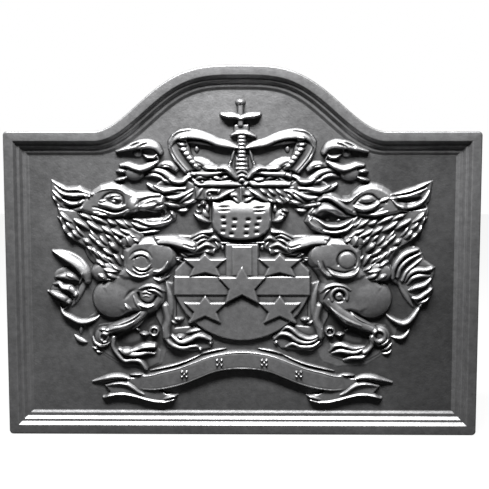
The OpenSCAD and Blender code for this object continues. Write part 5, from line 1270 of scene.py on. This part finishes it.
# Wear and painted shade at 0.5 is the even skin: rubbed crests go above it, painted shade in hollows below. Blurs
# are in cells of the sheet, the other lengths in millimetres
rubbingAndShade = {
    "crest": (0.9, 3.4, 0.30),            # two blurs, and how much wear a millimetre between them adds
    "sunk": (9, 0.23),                    # blur, and how much a millimetre below it takes off, as painted shade in hollows
    "paintedShadow": 0.7,                          # what the bare field between high carving loses at most, as painted shadow
    "paintedShadowBlur": 16, "paintedShadowTop": 2.6,       # how far the carving around is felt; the painted shadow ends at this height
    "paintedShadowRise": (1.2, 1.1),               # the share of painted shadow is the blur over the first, less the second
}


# A bell curve run over both axes of a sheet
def blurred(a, width):
    reach = np.arange(-int(3 * width), int(3 * width) + 1)
    bell = np.exp(-(reach / width) ** 2)
    bell /= bell.sum()
    for axis in (0, 1):
        pads = [(len(reach) // 2,) * 2 if k == axis else (0, 0) for k in (0, 1)]
        padded = np.pad(a, pads, mode="edge")
        a = np.apply_along_axis(lambda v: np.convolve(v, bell, mode="valid"), axis, padded)
    return a


# Wear and painted shade come from the sheet's own crookedness: a fine blur less a broader one is high on crests,
# which are rubbed lighter; a broad blur less the sheet is high in hollows, which get painted shade, and low bare
# field among high carving gets painted shadow
def wearAndShadeOf(ground, r=rubbingAndShade):
    above = np.maximum(ground, 0)
    fine, broad, rub = r["crest"]
    proud = blurred(above, fine) - blurred(above, broad)
    # painted shade in the hollows
    sunk = np.maximum(blurred(above, r["sunk"][0]) - above, 0)
    scale, less = r["paintedShadowRise"]
    # painted shadow on the low bare field between high carving
    hollow = np.clip(1 - above / r["paintedShadowTop"], 0, 1)
    hollow = hollow * np.clip(blurred(above, r["paintedShadowBlur"]) / scale - less, 0, 1)
    return np.clip(0.5 + rub * proud - r["sunk"][1] * sunk - r["paintedShadow"] * hollow, 0, 1)


# Every cell of the sheet goes to its highest piece
def castPieces():
    names = list(pieces)
    stack = np.stack([pieces[n] for n in names])
    owner = stack.argmax(axis=0)[:-1, :-1]
    under = -sheet["under"]
    ground = np.minimum(np.maximum(stack.max(axis=0), under), sheet["most"])
    # wear on the crests and painted shade in the hollows, for every cell
    wearAndShade = wearAndShadeOf(ground)
    cellHigh = np.maximum.reduce([ground[:-1, :-1], ground[1:, :-1], ground[:-1, 1:], ground[1:, 1:]])
    total = sum(castPiece(name, (owner == index) & (cellHigh > under + 0.05), ground, wearAndShade)
                for index, name in enumerate(names))
    print("carved pieces:", len(names), "with", total, "triangles")


# One piece from its cells: their tops, walls where a neighbour is another piece's, and a flat foot
# just inside the plate
def castPiece(node, mask, ground, wearAndShade):
    cols = ground.shape[1]
    j, i = np.nonzero(mask)
    a = j * cols + i
    used, corners = np.unique(np.stack([a, a + 1, a + cols + 1, a + cols], axis=1), return_inverse=True)
    corners = corners.reshape(-1, 4)
    n = len(used)
    x, z = sheetX[used % cols], sheetZ[used // cols]
    y = -(plate["thick"] + ground.ravel()[used])
    foot = np.full(n, -(plate["thick"] - sheet["under"] - 0.1))
    points = np.concatenate([np.stack([x, y, z], axis=1), np.stack([x, foot, z], axis=1)])
    padded = np.pad(mask, 1)
    walls = []
    for (down, across), (p, q) in (((-1, 0), (0, 1)), ((0, 1), (1, 2)), ((1, 0), (2, 3)), ((0, -1), (3, 0))):
        edge = ~padded[j + 1 + down, i + 1 + across]     # cells with another's cell on this side
        first, second = corners[edge, p], corners[edge, q]
        walls.append(np.stack([second, first, first + n, second + n], axis=1))
    walls = np.concatenate(walls)
    faces = np.concatenate([corners, corners[:, ::-1] + n, walls])
    onWall = np.zeros(2 * n, dtype=bool)
    onWall[walls.ravel()] = True
    piece = castMesh(node, points, faces.tolist(), lambda ends: onWall[ends].all(axis=1), reliefIron,
                     np.tile(wearAndShade.ravel()[used], 2))
    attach(piece, "root")
    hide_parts(node)
    return 2 * len(faces)


castPieces()
